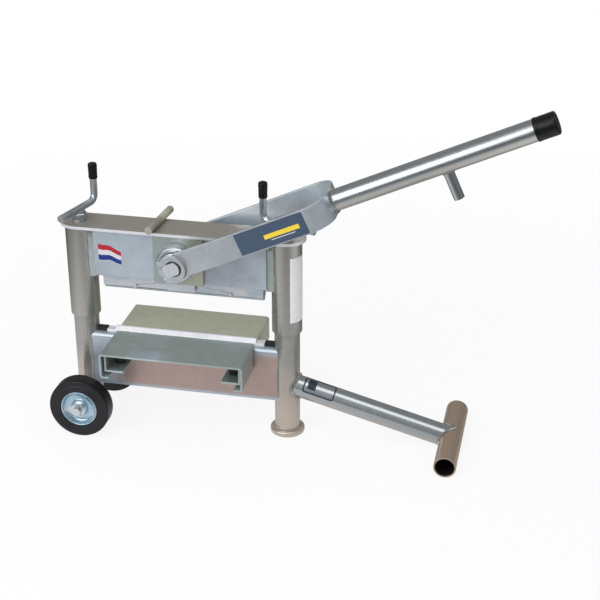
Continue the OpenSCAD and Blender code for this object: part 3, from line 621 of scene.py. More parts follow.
class SPLITTER_OT_steel(bpy.types.Operator):
    """Plates every steel solid and finishes the bronze and rubber ones"""

    bl_idname = "splitter.steel"
    bl_label = "Plated steel"

    def execute(self, context):
        steel = setting("steel")
        for finishes in (self.plates(), self.tubes(steel), self.bars(), self.bearings(steel)):
            for nodes, material in finishes.items():
                for node in nodes:
                    dress(node, material, 0.0 if node in UNBEVELLED else steel.edge)
        return {"FINISHED"}

    def plates(self):
        """Finishes of the flat pieces."""
        return {
            # Side plates: bluish tone partly painted reflection
            ("side_plate_front", "side_plate_rear"): zinc("side plate zinc", tones("cool", "cool", "shade")),
            ("end_plate_left", "end_plate_right"):
                zinc("end plate zinc", tones("moss", "moss", "cool"), UPRIGHT),
            ("bearing_plate_front", "bearing_plate_rear", "ram_guide_left", "ram_guide_right"):
                zinc("bearing plate zinc", tones("slate", "slate", "drab"), UPRIGHT),
            # Top plate: painted highlight on its upright edges; its brown tone is partly painted reflection
            ("top_plate",): zinc("top plate zinc", tones("umber", "umber", "rim"), blend=painted_edge_highlight),
            ("lever_stop",): zinc("stop bar zinc", tones("olive", "umber", "olive"), ACROSS),
            # Cross beam: painted reflection at its left end and painted highlights along its top and lower
            # edge
            ("cross_beam",): zinc("cross beam zinc", tones("rose", "rose", "cool"), blend=painted_beam_reflection),
            ("table_front", "table_brackets"):
                zinc("table zinc", tones("moss", "moss", "cool"), shift=(0.2, 0.1, 0)),
            ("table_rear",): zinc("rear table zinc", tones("olive", "olive", "olive")),
            # Yoke: painted highlight on its bend and painted light on its rear arm
            ("yoke",):
                zinc("yoke zinc", tones("lilac", "pale_painted_light", "pale_painted_light"), lever_turn(), blend=painted_yoke_light,
                     metal=0.85),
        }

    def tubes(self, steel):
        """Finishes of the drawn tubes and what is welded to them."""
        drawn = {"roughness": steel.drawn, "mottle": 0.25, "metal": 1.0}
        duller = {**drawn, "metal": 0.7}
        return {
            ("sleeve_left", "sleeve_right"):
                zinc("sleeve zinc", tones("grey", "grey", "sand"), UPRIGHT, blend=sand_low, **drawn),
            ("post_left", "post_right", "foot_disc"):
                zinc("post zinc", tones("iron", "iron", "sand"), UPRIGHT, blend=sand_low, **duller),
            # Support tube: painted warm reflection on its underside
            ("support_tube",):
                zinc("support tube zinc", tones("pearl", "pearl", "warm_reflection"), blend=painted_warm_reflection_below, **drawn),
            # Lever tube and peg: painted warm reflection on their undersides
            ("lever_tube", "lever_peg"):
                zinc("lever tube zinc", tones("pearl", "pearl", "warm_reflection"), lever_turn(), blend=painted_warm_reflection_below,
                     **drawn),
            # T bar: painted shade inside its bore
            ("tee_bar",):
                zinc("tee bar zinc", tones("tan", "tan", "bore_shade"), ACROSS, mottle=0.4, blend=painted_bore_shade),
            ("axle_spacers",): zinc("spacer zinc", tones("tan", "tan", "umber"), ACROSS, mottle=0.4),
        }

    def bars(self):
        """Finishes of turned bars, bolts and ground steel."""
        return {
            ("yoke_jaws", "bearing_boss_front", "bearing_boss_rear", "axle", "axle_washers", "table_bolts",
             "knife_bolts", "rock_pin", "spindle_left", "spindle_right", "crank_rod_left", "crank_rod_right"):
                zinc("bright bar zinc", tones("bright", "bright", "cool"), clouds=40, roughness=0.30,
                     metal=1.0),
            ("upper_knife", "knife_holder", "ram", "ram_cheeks", "eccentric_shaft"):
                zinc("knife steel", tones("blade", "blade", "cool"), clouds=20),
            ("lower_knife",): zinc("ground edge", tones("rim", "rim", "rim"), clouds=20, metal=0.3),
        }

    def bearings(self, steel):
        """Finishes of bushes, nuts and rubber."""
        return {
            ("bush_front", "bush_rear", "spindle_nuts"):
                zinc("bearing bronze", tones("bronze", "bronze", "bronze"), clouds=40),
            ("table_mounts", "sleeve_buffers"):
                moulded("buffer rubber", tuple(steel.buffer), 0.7, 0.2, 600, 0.0003),
        }


# Dished wheel disc: shares of the disc's radius and of half the hub's length
DISC_SHARES = ((0.215, 1.0), (0.27, 1.0), (0.29, 0.72), (0.40, 0.60), (0.45, 0.34), (0.62, 0.28),
               (0.80, 0.38), (0.90, 0.62), (0.93, 0.82), (0.985, 0.84), (1.0, 0.76))
# Tyre flank: shares of the way from the rim to the tread and of the tyre's width
FLANK_SHARES = ((0.0, 0.40), (0.04, 0.455), (0.55, 0.455))
# Rings on the flank, by share of the same way
RING_SHARES = (0.13, 0.44)
# Shares of the tyre's width for half its tread and for the rounding of its shoulder
TREAD_SHARE = 0.36
SHOULDER_SHARE = 0.3
# How far inside the tread the shoulder's corner lies
SHOULDER_DROP = 0.001


class SPLITTER_OT_wheels(bpy.types.Operator):
    """Turns the tyres with their tread and the dished wheel discs"""

    bl_idname = "splitter.wheels"
    bl_label = "Wheels"

    def execute(self, context):
        wheels = setting("wheels")
        rubber = moulded("tyre rubber", tuple(wheels.rubber), 0.40, 0.22, 420, 0.0003, 0.4)
        plating = tuple(wheels.disc)
        disc = zinc("wheel disc zinc", (plating, plating, *tones("bright")), clouds=26, roughness=0.27,
                    mottle=0.2, metal=0.85)
        for side, sign in SIDES.items():
            place = pointing(Y_AXIS * sign, centre("tyre_" + side))
            bm = bmesh.new()
            turned(bm, self.tyre(side, wheels), place, steps=128)
            body = "wheel_" + side
            piece("tyre_tread_" + side, bm, body, rubber, ["tyre_" + side], sharp=50)
            bm = bmesh.new()
            turned(bm, self.disc(side, wheels), place, steps=96)
            piece("wheel_disc_" + side, bm, body, disc, ["rim_" + side])
        return {"FINISHED"}

    def tyre(self, side, wheels):
        """Closed outline with rings on the flanks and grooves round the tread."""
        size = extent("tyre_" + side)
        outer = size.z / 2
        inner = extent("rim_" + side).z / 2
        wide = size.y
        tread = TREAD_SHARE * wide
        flank = [(inner + a * (outer - inner), b * wide) for a, b in FLANK_SHARES]
        level = flank[-1][1]
        rings = []
        for share in RING_SHARES:
            start = inner + share * (outer - inner)
            for step, rise in ((0, 0), (1, 1), (2, 1), (3, 0)):
                rings.append((start + step * wheels.rib, level + rise * wheels.rib))
        flank[2:2] = rings
        corner = (outer - SHOULDER_DROP, level)
        shoulder = rounded([flank[-1], corner, (outer, tread)], SHOULDER_SHARE * wide, 8)
        half = flank[:-1] + [tuple(p) for p in shoulder]
        grooves = []
        for i in range(wheels.grooves):
            place = tread * (1 - 2 * (i + 0.5) / wheels.grooves)
            for step, deep in ((0.5, 0), (0.3, 1), (-0.3, 1), (-0.5, 0)):
                grooves.append((outer - deep * wheels.groove_d, place + step * wheels.groove_w))
        return half + grooves + [(r, -h) for r, h in reversed(half)]

    def disc(self, side, wheels):
        """Closed outline of a disc that is dished on both sides."""
        radius = extent("rim_" + side).z / 2
        half = extent("rim_" + side).y / 2
        face = rounded([(a * radius, b * half) for a, b in DISC_SHARES], wheels.disc_round)
        return face + [Vector((r, -h)) for r, h in reversed(face)]


# Lever cap: shares of its radius and of the mouth bead's height, then of its radius and its length
CAP_MOUTH = ((0.985, 0), (1, 0.3), (1, 1), (0.975, 1.25))
CAP_WALL = ((0.975, 0.55), (0.985, 0.94), (0.90, 1), (0.72, 1), (0.66, 0.975), (0, 0.975))
# Where the bore of the cap ends, by share of its length
CAP_BORE = 0.87
# Crank grip: shares of its radius and its length, first outside, then where its bore ends
GRIP_SHARES = ((0.77, 0), (0.92, 0), (0.96, 0.04), (0.95, 0.40), (0.98, 0.62), (1.0, 0.80), (0.97, 0.93),
               (0.62, 0.985), (0, 1))
GRIP_BORE = (0.77, 0.80)


class SPLITTER_OT_grips(bpy.types.Operator):
    """Turns the lever's end cap and the two crank grips"""

    bl_idname = "splitter.grips"
    bl_label = "Grips"

    def execute(self, context):
        grips = setting("grips")
        plastic = moulded("black plastic", tuple(grips.plastic), 0.30, 0.15, 1500, 0.00015)
        points = in_lever("lever_cap")
        near, far = min(p.x for p in points), max(p.x for p in points)
        along = Matrix.Translation((near, 0, 0)) @ Matrix.Rotation(math.radians(90), 4, "Y")
        bm = bmesh.new()
        turned(bm, self.cap(grips, max(p.z for p in points), far - near), lever_frame() @ along)
        piece("lever_end_cap", bm, "lever", plastic, ["lever_cap"])
        for end in ENDS:
            node = "crank_grip_" + end
            size = extent(node)
            bm = bmesh.new()
            turned(bm, self.grip(grips, size.x / 2, size.z), Matrix.Translation(foot(node)), 48)
            piece("crank_handle_" + end, bm, "crank_" + end, plastic, [node])
        return {"FINISHED"}

    def cap(self, grips, radius, long):
        """Outline with a bead at the mouth, a waisted wall and a dished end."""
        bore = extent("lever_tube").y / 2
        mouth = [(a * radius, b * grips.mouth) for a, b in CAP_MOUTH]
        wall = [(a * radius, b * long) for a, b in CAP_WALL]
        deep = CAP_BORE * long
        return rounded([(bore, 0)] + mouth + wall, grips.cap_round) + [(0, deep), (bore, deep)]

    def grip(self, grips, radius, long):
        """Outline that swells towards a round end."""
        outer = rounded([(a * radius, b * long) for a, b in GRIP_SHARES], grips.grip_round)
        bore, deep = GRIP_BORE[0] * radius, GRIP_BORE[1] * long
        return outer + [(0, deep), (bore, deep)]


# Nut under a crank: share of its height that is washer, shares of its radius for chamfer and washer,
# and how far up the washer the nut starts
WASHER_SHARE = 0.17
CHAMFER_SHARE = 0.07
WASHER_REACH = 0.98
NUT_START = 1.02
# Split pin: bent end of a leg, by distance from the pin's middle and from the axle's skin
LEG_END = ((0.0075, 0.0045), (0.0040, 0.0035), (0.0013, 0.0005))
# Its middle behind the face of the solid that it replaces, and its eye below that solid's top
PIN_INSET = 0.0016
EYE_DROP = 0.0042
# Start and sweep of its eye, in degrees, and the steps round it
EYE_START = -70
EYE_SWEEP = 320
EYE_STEPS = 16


class SPLITTER_OT_fasteners(bpy.types.Operator):
    """Makes the spindle nuts on the top plate and the split pins on the axle"""

    bl_idname = "splitter.fasteners"
    bl_label = "Nuts and split pins"

    def execute(self, context):
        fasteners = setting("fasteners")
        bright = bpy.data.materials["bright bar zinc"]
        for end in ENDS:
            size = extent("collar_" + end)
            bm = bmesh.new()
            self.nut(bm, fasteners, size.x / 2, size.z)
            bmesh.ops.translate(bm, vec=foot("collar_" + end), verts=bm.verts)
            piece("spindle_nut_" + end, bm, "crank_" + end, bright, ["collar_" + end], sharp=25)
        bm = bmesh.new()
        for sign in SIDES.values():
            self.split_pin(bm, fasteners, sign)
        piece("split_pins", bm, "stand", bright, ["cotter_pins"])
        return {"FINISHED"}

    def nut(self, bm, fasteners, radius, high):
        """Hexagon with chamfered corners on a round washer."""
        bore = fasteners.nut_bore
        washer = high * WASHER_SHARE
        chamfer = radius * CHAMFER_SHARE
        reach = radius * WASHER_REACH
        start = washer * NUT_START
        turned(bm, rounded([(bore, 0), (reach, 0), (reach, washer), (bore, washer)], fasteners.washer_round),
               Matrix.Identity(4), 48)
        skinned(bm, [ring(bm, 48, bore, start), ring(bm, 6, radius - chamfer, start),
                     ring(bm, 6, radius, washer + chamfer), ring(bm, 6, radius, high - chamfer),
                     ring(bm, 6, radius - chamfer, high), ring(bm, 48, bore, high)])

    def split_pin(self, bm, fasteners, sign):
        """Wire with an eye above the axle and two bent legs below it."""
        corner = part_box("cotter_pins")[1]
        axle = centre("axle")
        reach = extent("axle").z / 2
        y = sign * (corner.y - PIN_INSET)
        eye_z = corner.z - axle.z - EYE_DROP
        leg = [(x, -reach - below) for x, below in LEG_END]
        leg += [(fasteners.leg_gap, 0), (fasteners.leg_gap, reach)]
        turns = [math.radians(EYE_START + EYE_SWEEP * i / EYE_STEPS) for i in range(EYE_STEPS + 1)]
        eye = [(fasteners.eye * math.cos(a), eye_z + fasteners.eye * math.sin(a)) for a in turns]
        path = leg + eye + [(-x, z) for x, z in reversed(leg)]
        swept(bm, [Vector((axle.x + x, y, axle.z + z)) for x, z in path], fasteners.wire, sides=3)


# Weld paths


def spaced(path, pitch, closed):
    """Points along a path of 0 to 1, a quarter ripple apart."""
    rough = [path(i / 64) for i in range(65)]
    long = sum((b - a).length for a, b in zip(rough, rough[1:]))
    count = max(8, 4 * round(long / pitch))
    return [path(i / count) for i in range(count if closed else count + 1)]


def circled(radius, turn):
    """Point on a level circle about Z."""
    return Vector((radius * math.cos(turn), radius * math.sin(turn), 0))


def hoop(middle, axis, radius):
    """Circle square to an axis."""
    place = pointing(axis, middle)
    return lambda t: place @ circled(radius, FULL_TURN * t)


def line(a, b):
    return lambda t: Vector(a).lerp(Vector(b), t)


def saddle(origin, along, radius, middle, axis, wall, far=True):
    """Where a tube's skin meets a round wall."""
    place = pointing(along, origin)

    def path(t):
        start = place @ circled(radius, FULL_TURN * t) - middle
        flat = start - axis * start.dot(axis)
        ahead = along - axis * along.dot(axis)
        a, b, c = ahead.length_squared, flat.dot(ahead), flat.length_squared - wall * wall
        root = math.sqrt(max(b * b - a * c, 0))
        return middle + start + along * ((-b + (root if far else -root)) / a)

    return path


def lifted(path, low):
    """Keeps a path above the ground."""
    return lambda t: Vector((*path(t).xy, max(path(t).z, low)))


# Share of its radius by which a bead waves, and the lowest middle of a bead above the ground in radii
BEAD_WAVE = 0.22
GROUND_CLEAR = 1.25
# Bare lengths at the foot and the top of the seams between cross beam and posts
BEAM_SEAM_ENDS = (0.008, 0.012)
# Fall of the tacks above the end plates against their run
TACK_SLOPE = 2.2
# Half the turn of the seam round an arm's jaw
JAW_SWEEP = math.radians(62)


class SPLITTER_OT_welds(bpy.types.Operator):
    """Lays the weld beads where tubes and plates meet"""

    bl_idname = "splitter.welds"
    bl_label = "Welds"

    def execute(self, context):
        welds = setting("welds")
        seam = tuple(welds.seam)
        metal = zinc("weld zinc", (seam, *tones("grey"), seam), clouds=60, roughness=0.46, metal=0.85)
        beads = {"stand": self.on_stand(welds), "head": self.on_head(welds.thin),
                 "lever": self.on_lever(welds)}
        for end in ENDS:
            beads["crank_" + end] = self.on_crank(welds, "spindle_" + end)
        for body, paths in beads.items():
            bm = bmesh.new()
            for path, radius, closed in paths:
                swept(bm, spaced(path, welds.ripple, closed), radius, closed, BEAD_WAVE)
            piece("welds_" + body, bm, body, metal)
        return {"FINISHED"}

    def on_stand(self, welds):
        """Beads at both ends of the support tube, on the foot disc and down the ends of the cross beam."""
        post, post_r = centre("post_right"), extent("post_right").x / 2
        tee, tee_r = centre("tee_bar"), extent("tee_bar").x / 2
        start = Vector((post.x, 0, welds.support_rise))
        along = (tee - start).normalized()
        on_tee = saddle(start, along, tee_r, tee, Y_AXIS, tee_r, far=False)
        beads = [
            (saddle(start, along, tee_r, post, Z_AXIS, post_r), welds.thick, True),
            (lifted(on_tee, GROUND_CLEAR * welds.thick), welds.thick, True),
            (hoop(Vector((post.x, 0, top("foot_disc"))), Z_AXIS, post_r), welds.thin, True),
        ]
        beam_y = extent("cross_beam").y / 2
        reach = math.sqrt(post_r ** 2 - beam_y ** 2)
        low, high = bottom("cross_beam") + BEAM_SEAM_ENDS[0], top("cross_beam") - BEAM_SEAM_ENDS[1]
        for end, way in ENDS.items():
            x = centre("post_" + end).x - way * reach
            for sign in SIDES.values():
                beads.append((line((x, sign * beam_y, low), (x, sign * beam_y, high)), welds.thin, False))
        return beads

    def on_head(self, thin):
        """Beads under the top plate, beside the end plates and round the bearing bosses."""
        sleeve_r = extent("sleeve_left").x / 2
        web_y = extent("end_plate_left").y / 2
        reach = math.sqrt(sleeve_r ** 2 - web_y ** 2)
        beads = []
        for end, way in ENDS.items():
            sleeve = centre("sleeve_" + end)
            beads.append((hoop(Vector((sleeve.x, 0, bottom("top_plate"))), Z_AXIS, sleeve_r), thin, True))
            x = sleeve.x - way * reach
            plate_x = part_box("side_plate_front")[0 if way < 0 else 1].x
            low, high = bottom("end_plate_" + end), top("end_plate_" + end)
            tip_x, tip_z = (x + plate_x) / 2, high - TACK_SLOPE * abs(x - plate_x) / 2
            for sign in SIDES.values():
                y = sign * web_y
                beads.append((line((x, y, low), (x, y, high)), thin, False))
                beads.append((line((plate_x, y, low), (plate_x, y, high)), thin / 2, False))
                beads.append((line((x, y, high), (tip_x, y, tip_z)), thin, False))
                beads.append((line((plate_x, y, high), (tip_x, y, tip_z)), thin, False))
        boss_r = extent("bearing_boss_front").x / 2
        pivot = joint_place("lever_swing")
        for side, sign in SIDES.items():
            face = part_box("bearing_plate_" + side)[0 if sign < 0 else 1].y
            beads.append((hoop(Vector((pivot.x, face, pivot.z)), Y_AXIS, boss_r), thin, True))
        return beads

    def on_lever(self, welds):
        """Beads round the tube's end, round the peg and along the jaws."""
        lever = lever_frame()
        along, down = lever.to_3x3() @ X_AXIS, lever.to_3x3() @ -Z_AXIS
        tube_r, peg_r = extent("lever_tube").y / 2, extent("lever_peg").y / 2
        tube_end = lever @ Vector((min(p.x for p in in_lever("lever_tube")), 0, 0))
        peg = lever @ Vector(((lever.inverted() @ centre("lever_peg")).x, 0, 0))
        beads = [
            (hoop(tube_end, along, tube_r), welds.thick, True),
            (saddle(peg, down, peg_r, joint_place("lever_swing"), along, tube_r), welds.thin, True),
        ]
        jaw_r = max(p.z for p in in_lever("yoke_jaws"))
        for sign in SIDES.values():
            beads.append((self.jaw_arc(lever, jaw_r, sign * extent("yoke").y / 2), welds.thin, False))
        return beads

    def on_crank(self, welds, spindle):
        """Bead round the foot of a crank rod."""
        middle = Vector((centre(spindle).x, 0, top(spindle) - welds.crank_drop))
        return [(hoop(middle, Z_AXIS, welds.crank_r), welds.thin, True)]

    def jaw_arc(self, lever, radius, y):
        def path(t):
            a = JAW_SWEEP * (2 * t - 1)
            return lever @ Vector((radius * math.cos(a), y, radius * math.sin(a)))

        return path


def plaque(wide, high, corner, steps=6):
    """Closed outline of a rectangle with round corners, about its middle."""
    points = []
    for quarter, (side, rise) in enumerate(((1, 1), (-1, 1), (-1, -1), (1, -1))):
        for i in range(steps + 1):
            a = math.radians(90) * (quarter + i / steps)
            points.append((side * (wide / 2 - corner) + corner * math.cos(a),
                           rise * (high / 2 - corner) + corner * math.sin(a)))
    return points


# Films and the roughness of each
INKS = {"navy": 0.34, "yellow": 0.34, "pale": 0.40, "dark": 0.34, "red": 0.34, "blue": 0.34, "white": 0.34}
# Stripe and line on the navy film: distances from its start and its end, and edges from the arm's middle
ARM_STRIPE = ((0.056, 0.014), (-0.0065, 0.0025))
ARM_LINE = ((0.068, 0.026), (-0.0112, -0.0100))
# Stripes of the small tricolour, by row from below
STRIPES = {"red": 2, "white": 1, "blue": 0}


class SPLITTER_OT_decals(bpy.types.Operator):
    """Lays the plain films on the yoke, the right sleeve, the support tube and the side plate"""

    bl_idname = "splitter.decals"
    bl_label = "Plain films"

    def execute(self, context):
        d = setting("decals")
        ink = {name: film(name + " film", tuple(getattr(d, name)), rough) for name, rough in INKS.items()}
        edges = (-d.band_half, d.band_half)
        self.lay("arm_band", self.on_arm(d, 0, (0, 0), edges), "lever", ink["navy"], 12, 4)
        self.lay("arm_stripe", self.on_arm(d, d.film, *ARM_STRIPE), "lever", ink["yellow"], 8, 1)
        self.lay("arm_line", self.on_arm(d, d.film, *ARM_LINE), "lever", ink["pale"], 8, 1)
        self.lay("sleeve_film", self.on_sleeve(d), "head", ink["pale"], 24, 2)
        block = self.on_support(d, d.block_w, d.block_h, d.block_shift, d.block_rise)
        self.lay("support_block", block, "stand", ink["dark"], 8, 12)
        self.lay_frame("support_frame", d, "stand", ink["dark"])
        for name, row in STRIPES.items():
            self.lay("tricolour_" + name, self.on_plate(d, row), "head", ink[name], 20, 1)
        return {"FINISHED"}

    def on_arm(self, d, lift, inset, edges):
        """Patch on the front arm, between two edges and inside the ends of the navy film."""
        lever = lever_frame()
        face = -extent("yoke").y / 2 - lift
        start, end = d.band_from + inset[0], d.band_to - inset[1]
        low, high = edges
        return lambda s, t: lever @ Vector((start + s * (end - start), face, low + t * (high - low)))

    def on_sleeve(self, d):
        """Patch wrapped round the front of the right sleeve."""
        middle, radius = centre("sleeve_right"), extent("sleeve_right").x / 2

        def path(s, t):
            a = d.wrap_from + d.wrap * s
            x, y = middle.x + radius * math.sin(a), -radius * math.cos(a)
            return Vector((x, y, d.wrap_low + d.wrap_high * t))

        return path

    def on_plate(self, d, row):
        """Row of a waving flag that narrows to the right, on the front side plate."""
        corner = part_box("side_plate_front")[0]

        def path(s, t):
            high = d.flag_h - d.flag_taper * s
            wave = d.flag_wave * math.sin(math.pi * s) ** 3 - d.flag_fall * s
            drop = high * (len(STRIPES) - row - t) / len(STRIPES)
            return Vector((corner.x + d.flag_in + d.flag_w * s, corner.y, d.flag_top + wave - drop))

        return path

    def on_support(self, d, wide, high, along=0.0, up=0.0):
        """Patch wrapped round the support tube, about the middle of its frame."""
        tee = centre("tee_bar")
        start = Vector((centre("post_right").x, 0, setting("welds").support_rise))
        place = axes(tee - start, Y_AXIS, start)
        radius = extent("tee_bar").x / 2

        def path(s, t):
            x = d.frame_from + along + (s - 0.5) * wide
            a = d.frame_turn + (up + (t - 0.5) * high) / radius
            return place @ Vector((x, -radius * math.cos(a), radius * math.sin(a)))

        return path

    def lay_frame(self, name, d, body, ink):
        """Lays a thin frame with round corners on the support tube."""
        place = self.on_support(d, 1, 1)
        bm = bmesh.new()
        loops = []
        for inset in (0, d.frame_band):
            outline = plaque(d.frame_w - 2 * inset, d.frame_h - 2 * inset, d.frame_round - inset)
            verts = [bm.verts.new((x, y, 0)) for x, y in outline]
            loops.append([bm.edges.new(pair) for pair in zip(verts, verts[1:] + verts[:1])])
        bmesh.ops.bridge_loops(bm, edges=loops[0] + loops[1])
        long = [e for e in bm.edges if e.calc_length() > 2 * d.frame_round]
        bmesh.ops.subdivide_edges(bm, edges=long, cuts=12, use_grid_fill=True)
        for v in bm.verts:
            v.co = place(v.co.x + 0.5, v.co.y + 0.5)
        self.thicken(name, bm, body, ink)

    def lay(self, name, place, body, ink, columns, rows):
        """Lays a film where a place function of two shares puts it."""
        bm = bmesh.new()
        for v in bmesh.ops.create_grid(bm, x_segments=columns, y_segments=rows, size=0.5)["verts"]:
            v.co = place(v.co.x + 0.5, v.co.y + 0.5)
        self.thicken(name, bm, body, ink)

    def thicken(self, name, bm, body, ink):
        """Gives a flat film its thickness, away from what it lies on."""
        thick = setting("decals").film
        bmesh.ops.recalc_face_normals(bm, faces=bm.faces)
        bm.faces.ensure_lookup_table()
        outward = bm.faces[0].normal.y < 0
        bmesh.ops.solidify(bm, geom=bm.faces[:], thickness=-thick if outward else thick)
        piece(name, bm, body, ink)


# What the metal sees of the floor: reach to either side and grey cards by share of it
CARD_REACH = 1.6
CARDS_ACROSS = ((0.0, 0.30), (0.16, 0.60), (0.25, 1.0), (0.36, 0.95), (0.47, 0.72), (0.62, 0.62), (0.75, 1.0),
                (0.87, 1.0), (0.96, 0.3))
CARDS_DEEP = ((0.0, 0.20), (0.12, 0.38), (0.22, 0.72), (0.32, 0.92), (0.42, 1.0), (0.50, 0.9), (0.60, 0.4),
              (0.75, 0.22))
# Distances from the middle between which the floor's own shading fades into the white
SHADOW_FADE = (0.7, 2.0)
# What the metal sees of the room, by height
ROOM_GREYS = ((0.0, 0.22), (0.2, 0.28), (0.45, 0.34), (0.8, 0.30), (1.0, 0.28))
# Softboxes: place from the middle of the splitter, width, and height by share of it
OVERHEAD = ((0.4, -1.0, 2.3), 2.6, 0.5)
LEFT = ((-1.32, -1.88, 1.2), 2.4, 0.75)
# Half the floor's side, and how far the camera sees
FLOOR_REACH = 9
VIEW_REACH = 50


def greys(stops):
    """Colour stops from places and grey values."""
    return [(place, (grey, grey, grey)) for place, grey in stops]


class SPLITTER_OT_stage(bpy.types.Operator):
    """Puts up the floor, the soft light and the camera"""

    bl_idname = "splitter.stage"
    bl_label = "Stage"

    def execute(self, context):
        stage = setting("stage")
        self.floor(stage)
        self.world(stage)
        self.softbox("overhead softbox", stage.key, *OVERHEAD)
        self.softbox("left softbox", stage.fill, *LEFT)
        data = bpy.data.cameras.new("camera")
        data.lens = stage.lens
        data.clip_end = VIEW_REACH
        camera = bpy.data.objects.new("camera", data)
        camera.location = stage.camera
        camera.rotation_euler = (math.radians(90) - stage.tilt, 0, stage.turn)
        bpy.context.scene.collection.objects.link(camera)
        bpy.context.scene.camera = camera
        bpy.context.scene.view_settings.view_transform = "Standard"
        return {"FINISHED"}

    def seen(self, tree):
        """1 for rays that show the background: camera, mirror and glass rays."""
        path = tree.nodes.new("ShaderNodeLightPath")
        total = path.outputs["Is Camera Ray"]
        for name in ("Is Glossy Ray", "Is Transmission Ray"):
            most = tree.nodes.new("ShaderNodeMath")
            most.operation = "MAXIMUM"
            tree.links.new(total, most.inputs[0])
            tree.links.new(path.outputs[name], most.inputs[1])
            total = most.outputs[0]
        return total

    def floor(self, stage):
        """Lays a floor that is white to the camera, with a faint shadow, and grey cards to the metal."""
        s = Shading("pale floor")
        s.shader.inputs["Roughness"].default_value = 1
        s.shader.inputs["Specular IOR Level"].default_value = 0
        fibre = s.noise(s.place, 30, 3)
        s.put(s.shader.inputs["Base Color"], s.shaded((*stage.floor, 1), s.between(fibre, 0.99, 1.01)))
        spot = s.node("ShaderNodeSeparateXYZ", {0: s.place}).outputs
        across = s.ramp(s.between(spot["X"], 0, 1, -CARD_REACH, CARD_REACH), greys(CARDS_ACROSS))
        deep = s.ramp(s.between(spot["Y"], 0, 1, -CARD_REACH, CARD_REACH), greys(CARDS_DEEP))
        shown = s.node("ShaderNodeMix", data_type="RGBA")
        s.put(shown.inputs["Factor"], s.node("ShaderNodeLightPath").outputs["Is Camera Ray"])
        s.put(shown.inputs["A"], s.shaded(across, deep))
        s.put(shown.inputs["B"], (1, 1, 1, 1))
        white = s.node("ShaderNodeEmission", {"Color": shown.outputs["Result"], "Strength": 1.0})
        far = s.node("ShaderNodeVectorMath", {0: s.place}, operation="LENGTH").outputs["Value"]
        own = s.between(far, stage.shadow, 0, *SHADOW_FADE)
        share = s.sums(self.seen(s.tree), s.sums(1, own, "SUBTRACT"), "MULTIPLY")
        mix = s.node("ShaderNodeMixShader", {0: share, 1: s.shader.outputs[0], 2: white.outputs[0]})
        s.put(s.tree.nodes["Material Output"].inputs["Surface"], mix.outputs[0])
        s.material.cycles.emission_sampling = "NONE"
        bm = bmesh.new()
        bmesh.ops.create_grid(bm, x_segments=8, y_segments=8, size=FLOOR_REACH)
        mesh = bpy.data.meshes.new("floor")
        bm.to_mesh(mesh)
        bm.free()
        mesh.materials.append(s.material)
        floor = bpy.data.objects.new("floor", mesh)
        bpy.context.scene.collection.objects.link(floor)

    def world(self, stage):
        """Sets the room: white to the camera, greys by height to the metal, and even light for the rest."""
        world = bpy.data.worlds.new("studio")
        world.use_nodes = True
        tree = world.node_tree
        tree.nodes.clear()
        add, join = tree.nodes.new, tree.links.new
        path = add("ShaderNodeLightPath")
        way = add("ShaderNodeTexCoord")
        split = add("ShaderNodeSeparateXYZ")
        join(way.outputs["Generated"], split.inputs[0])
        ramp = add("ShaderNodeValToRGB")
        grade(ramp, greys(ROOM_GREYS))
        join(split.outputs["Z"], ramp.inputs["Fac"])
        room, soft, white = (add("ShaderNodeBackground") for _ in range(3))
        join(ramp.outputs["Color"], room.inputs["Color"])
        soft.inputs["Color"].default_value = (1, 1, 1, 1)
        soft.inputs["Strength"].default_value = stage.ambient
        white.inputs["Color"].default_value = (1, 1, 1, 1)
        mirrored, shown = add("ShaderNodeMixShader"), add("ShaderNodeMixShader")
        bright = add("ShaderNodeMath")
        bright.operation = "MAXIMUM"
        join(path.outputs["Is Glossy Ray"], bright.inputs[0])
        join(path.outputs["Is Transmission Ray"], bright.inputs[1])
        join(bright.outputs[0], mirrored.inputs[0])
        join(soft.outputs[0], mirrored.inputs[1])
        join(room.outputs[0], mirrored.inputs[2])
        join(path.outputs["Is Camera Ray"], shown.inputs[0])
        join(mirrored.outputs[0], shown.inputs[1])
        join(white.outputs[0], shown.inputs[2])
        join(shown.outputs[0], add("ShaderNodeOutputWorld").inputs["Surface"])
        bpy.context.scene.world = world

    def softbox(self, name, power, place, wide, share):
        """Hangs a softbox that faces the middle of the splitter."""
        data = bpy.data.lights.new(name, "AREA")
        data.shape = "RECTANGLE"
        data.size = wide
        data.size_y = wide * share
        data.energy = power
        lamp = bpy.data.objects.new(name, data)
        lamp.location = (cad_box[0] + cad_box[1]) / 2 + Vector(place)
        lamp.rotation_euler = (-Vector(place)).to_track_quat("-Z", "Y").to_euler()
        bpy.context.scene.collection.objects.link(lamp)


OPERATORS = (SPLITTER_OT_steel, SPLITTER_OT_wheels, SPLITTER_OT_grips, SPLITTER_OT_fasteners,
             SPLITTER_OT_welds, SPLITTER_OT_decals, SPLITTER_OT_stage)
SETTINGS = {"steel": SplitterSteel, "wheels": SplitterWheels, "grips": SplitterGrips,
            "fasteners": SplitterFasteners, "welds": SplitterWelds, "decals": SplitterDecals,
            "stage": SplitterStage}


class SPLITTER_PT_panel(bpy.types.Panel):
    """Lists the splitter's operators and settings"""

    bl_idname = "SPLITTER_PT_panel"
    bl_label = "Block splitter"
    bl_space_type = "VIEW_3D"
    bl_region_type = "UI"
    bl_category = "Block splitter"

    def draw(self, context):
        for operator in OPERATORS:
            self.layout.operator(operator.bl_idname)
        for name in SETTINGS:
            group = setting(name)
            box = self.layout.box()
            for key in group.__annotations__:
                box.prop(group, key)


def register():
    for name, group in SETTINGS.items():
        bpy.utils.register_class(group)
        setattr(bpy.types.Scene, "splitter_" + name, PointerProperty(type=group))
    for operator in OPERATORS:
        bpy.utils.register_class(operator)
    bpy.utils.register_class(SPLITTER_PT_panel)


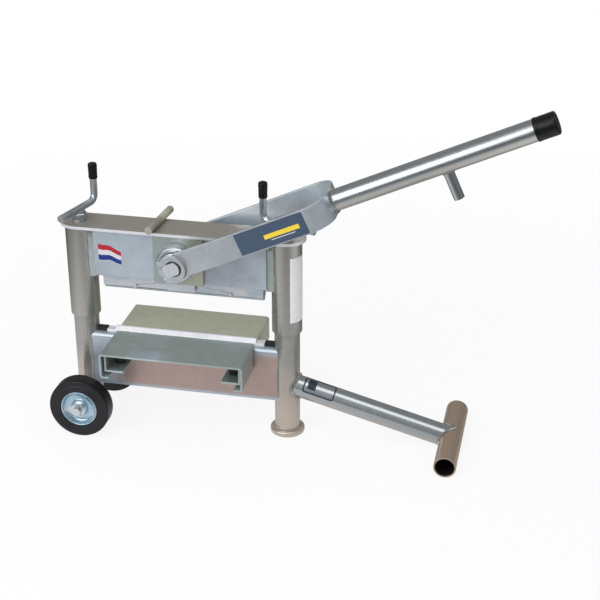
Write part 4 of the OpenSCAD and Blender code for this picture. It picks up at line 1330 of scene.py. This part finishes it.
def unregister():
    bpy.utils.unregister_class(SPLITTER_PT_panel)
    for operator in reversed(OPERATORS):
        bpy.utils.unregister_class(operator)
    for name, group in SETTINGS.items():
        delattr(bpy.types.Scene, "splitter_" + name)
        bpy.utils.unregister_class(group)


def main():
    register()
    bpy.ops.splitter.steel()
    bpy.ops.splitter.wheels()
    bpy.ops.splitter.grips()
    bpy.ops.splitter.fasteners()
    bpy.ops.splitter.welds()
    bpy.ops.splitter.decals()
    bpy.ops.splitter.stage()


if __name__ == "__main__":
    main()
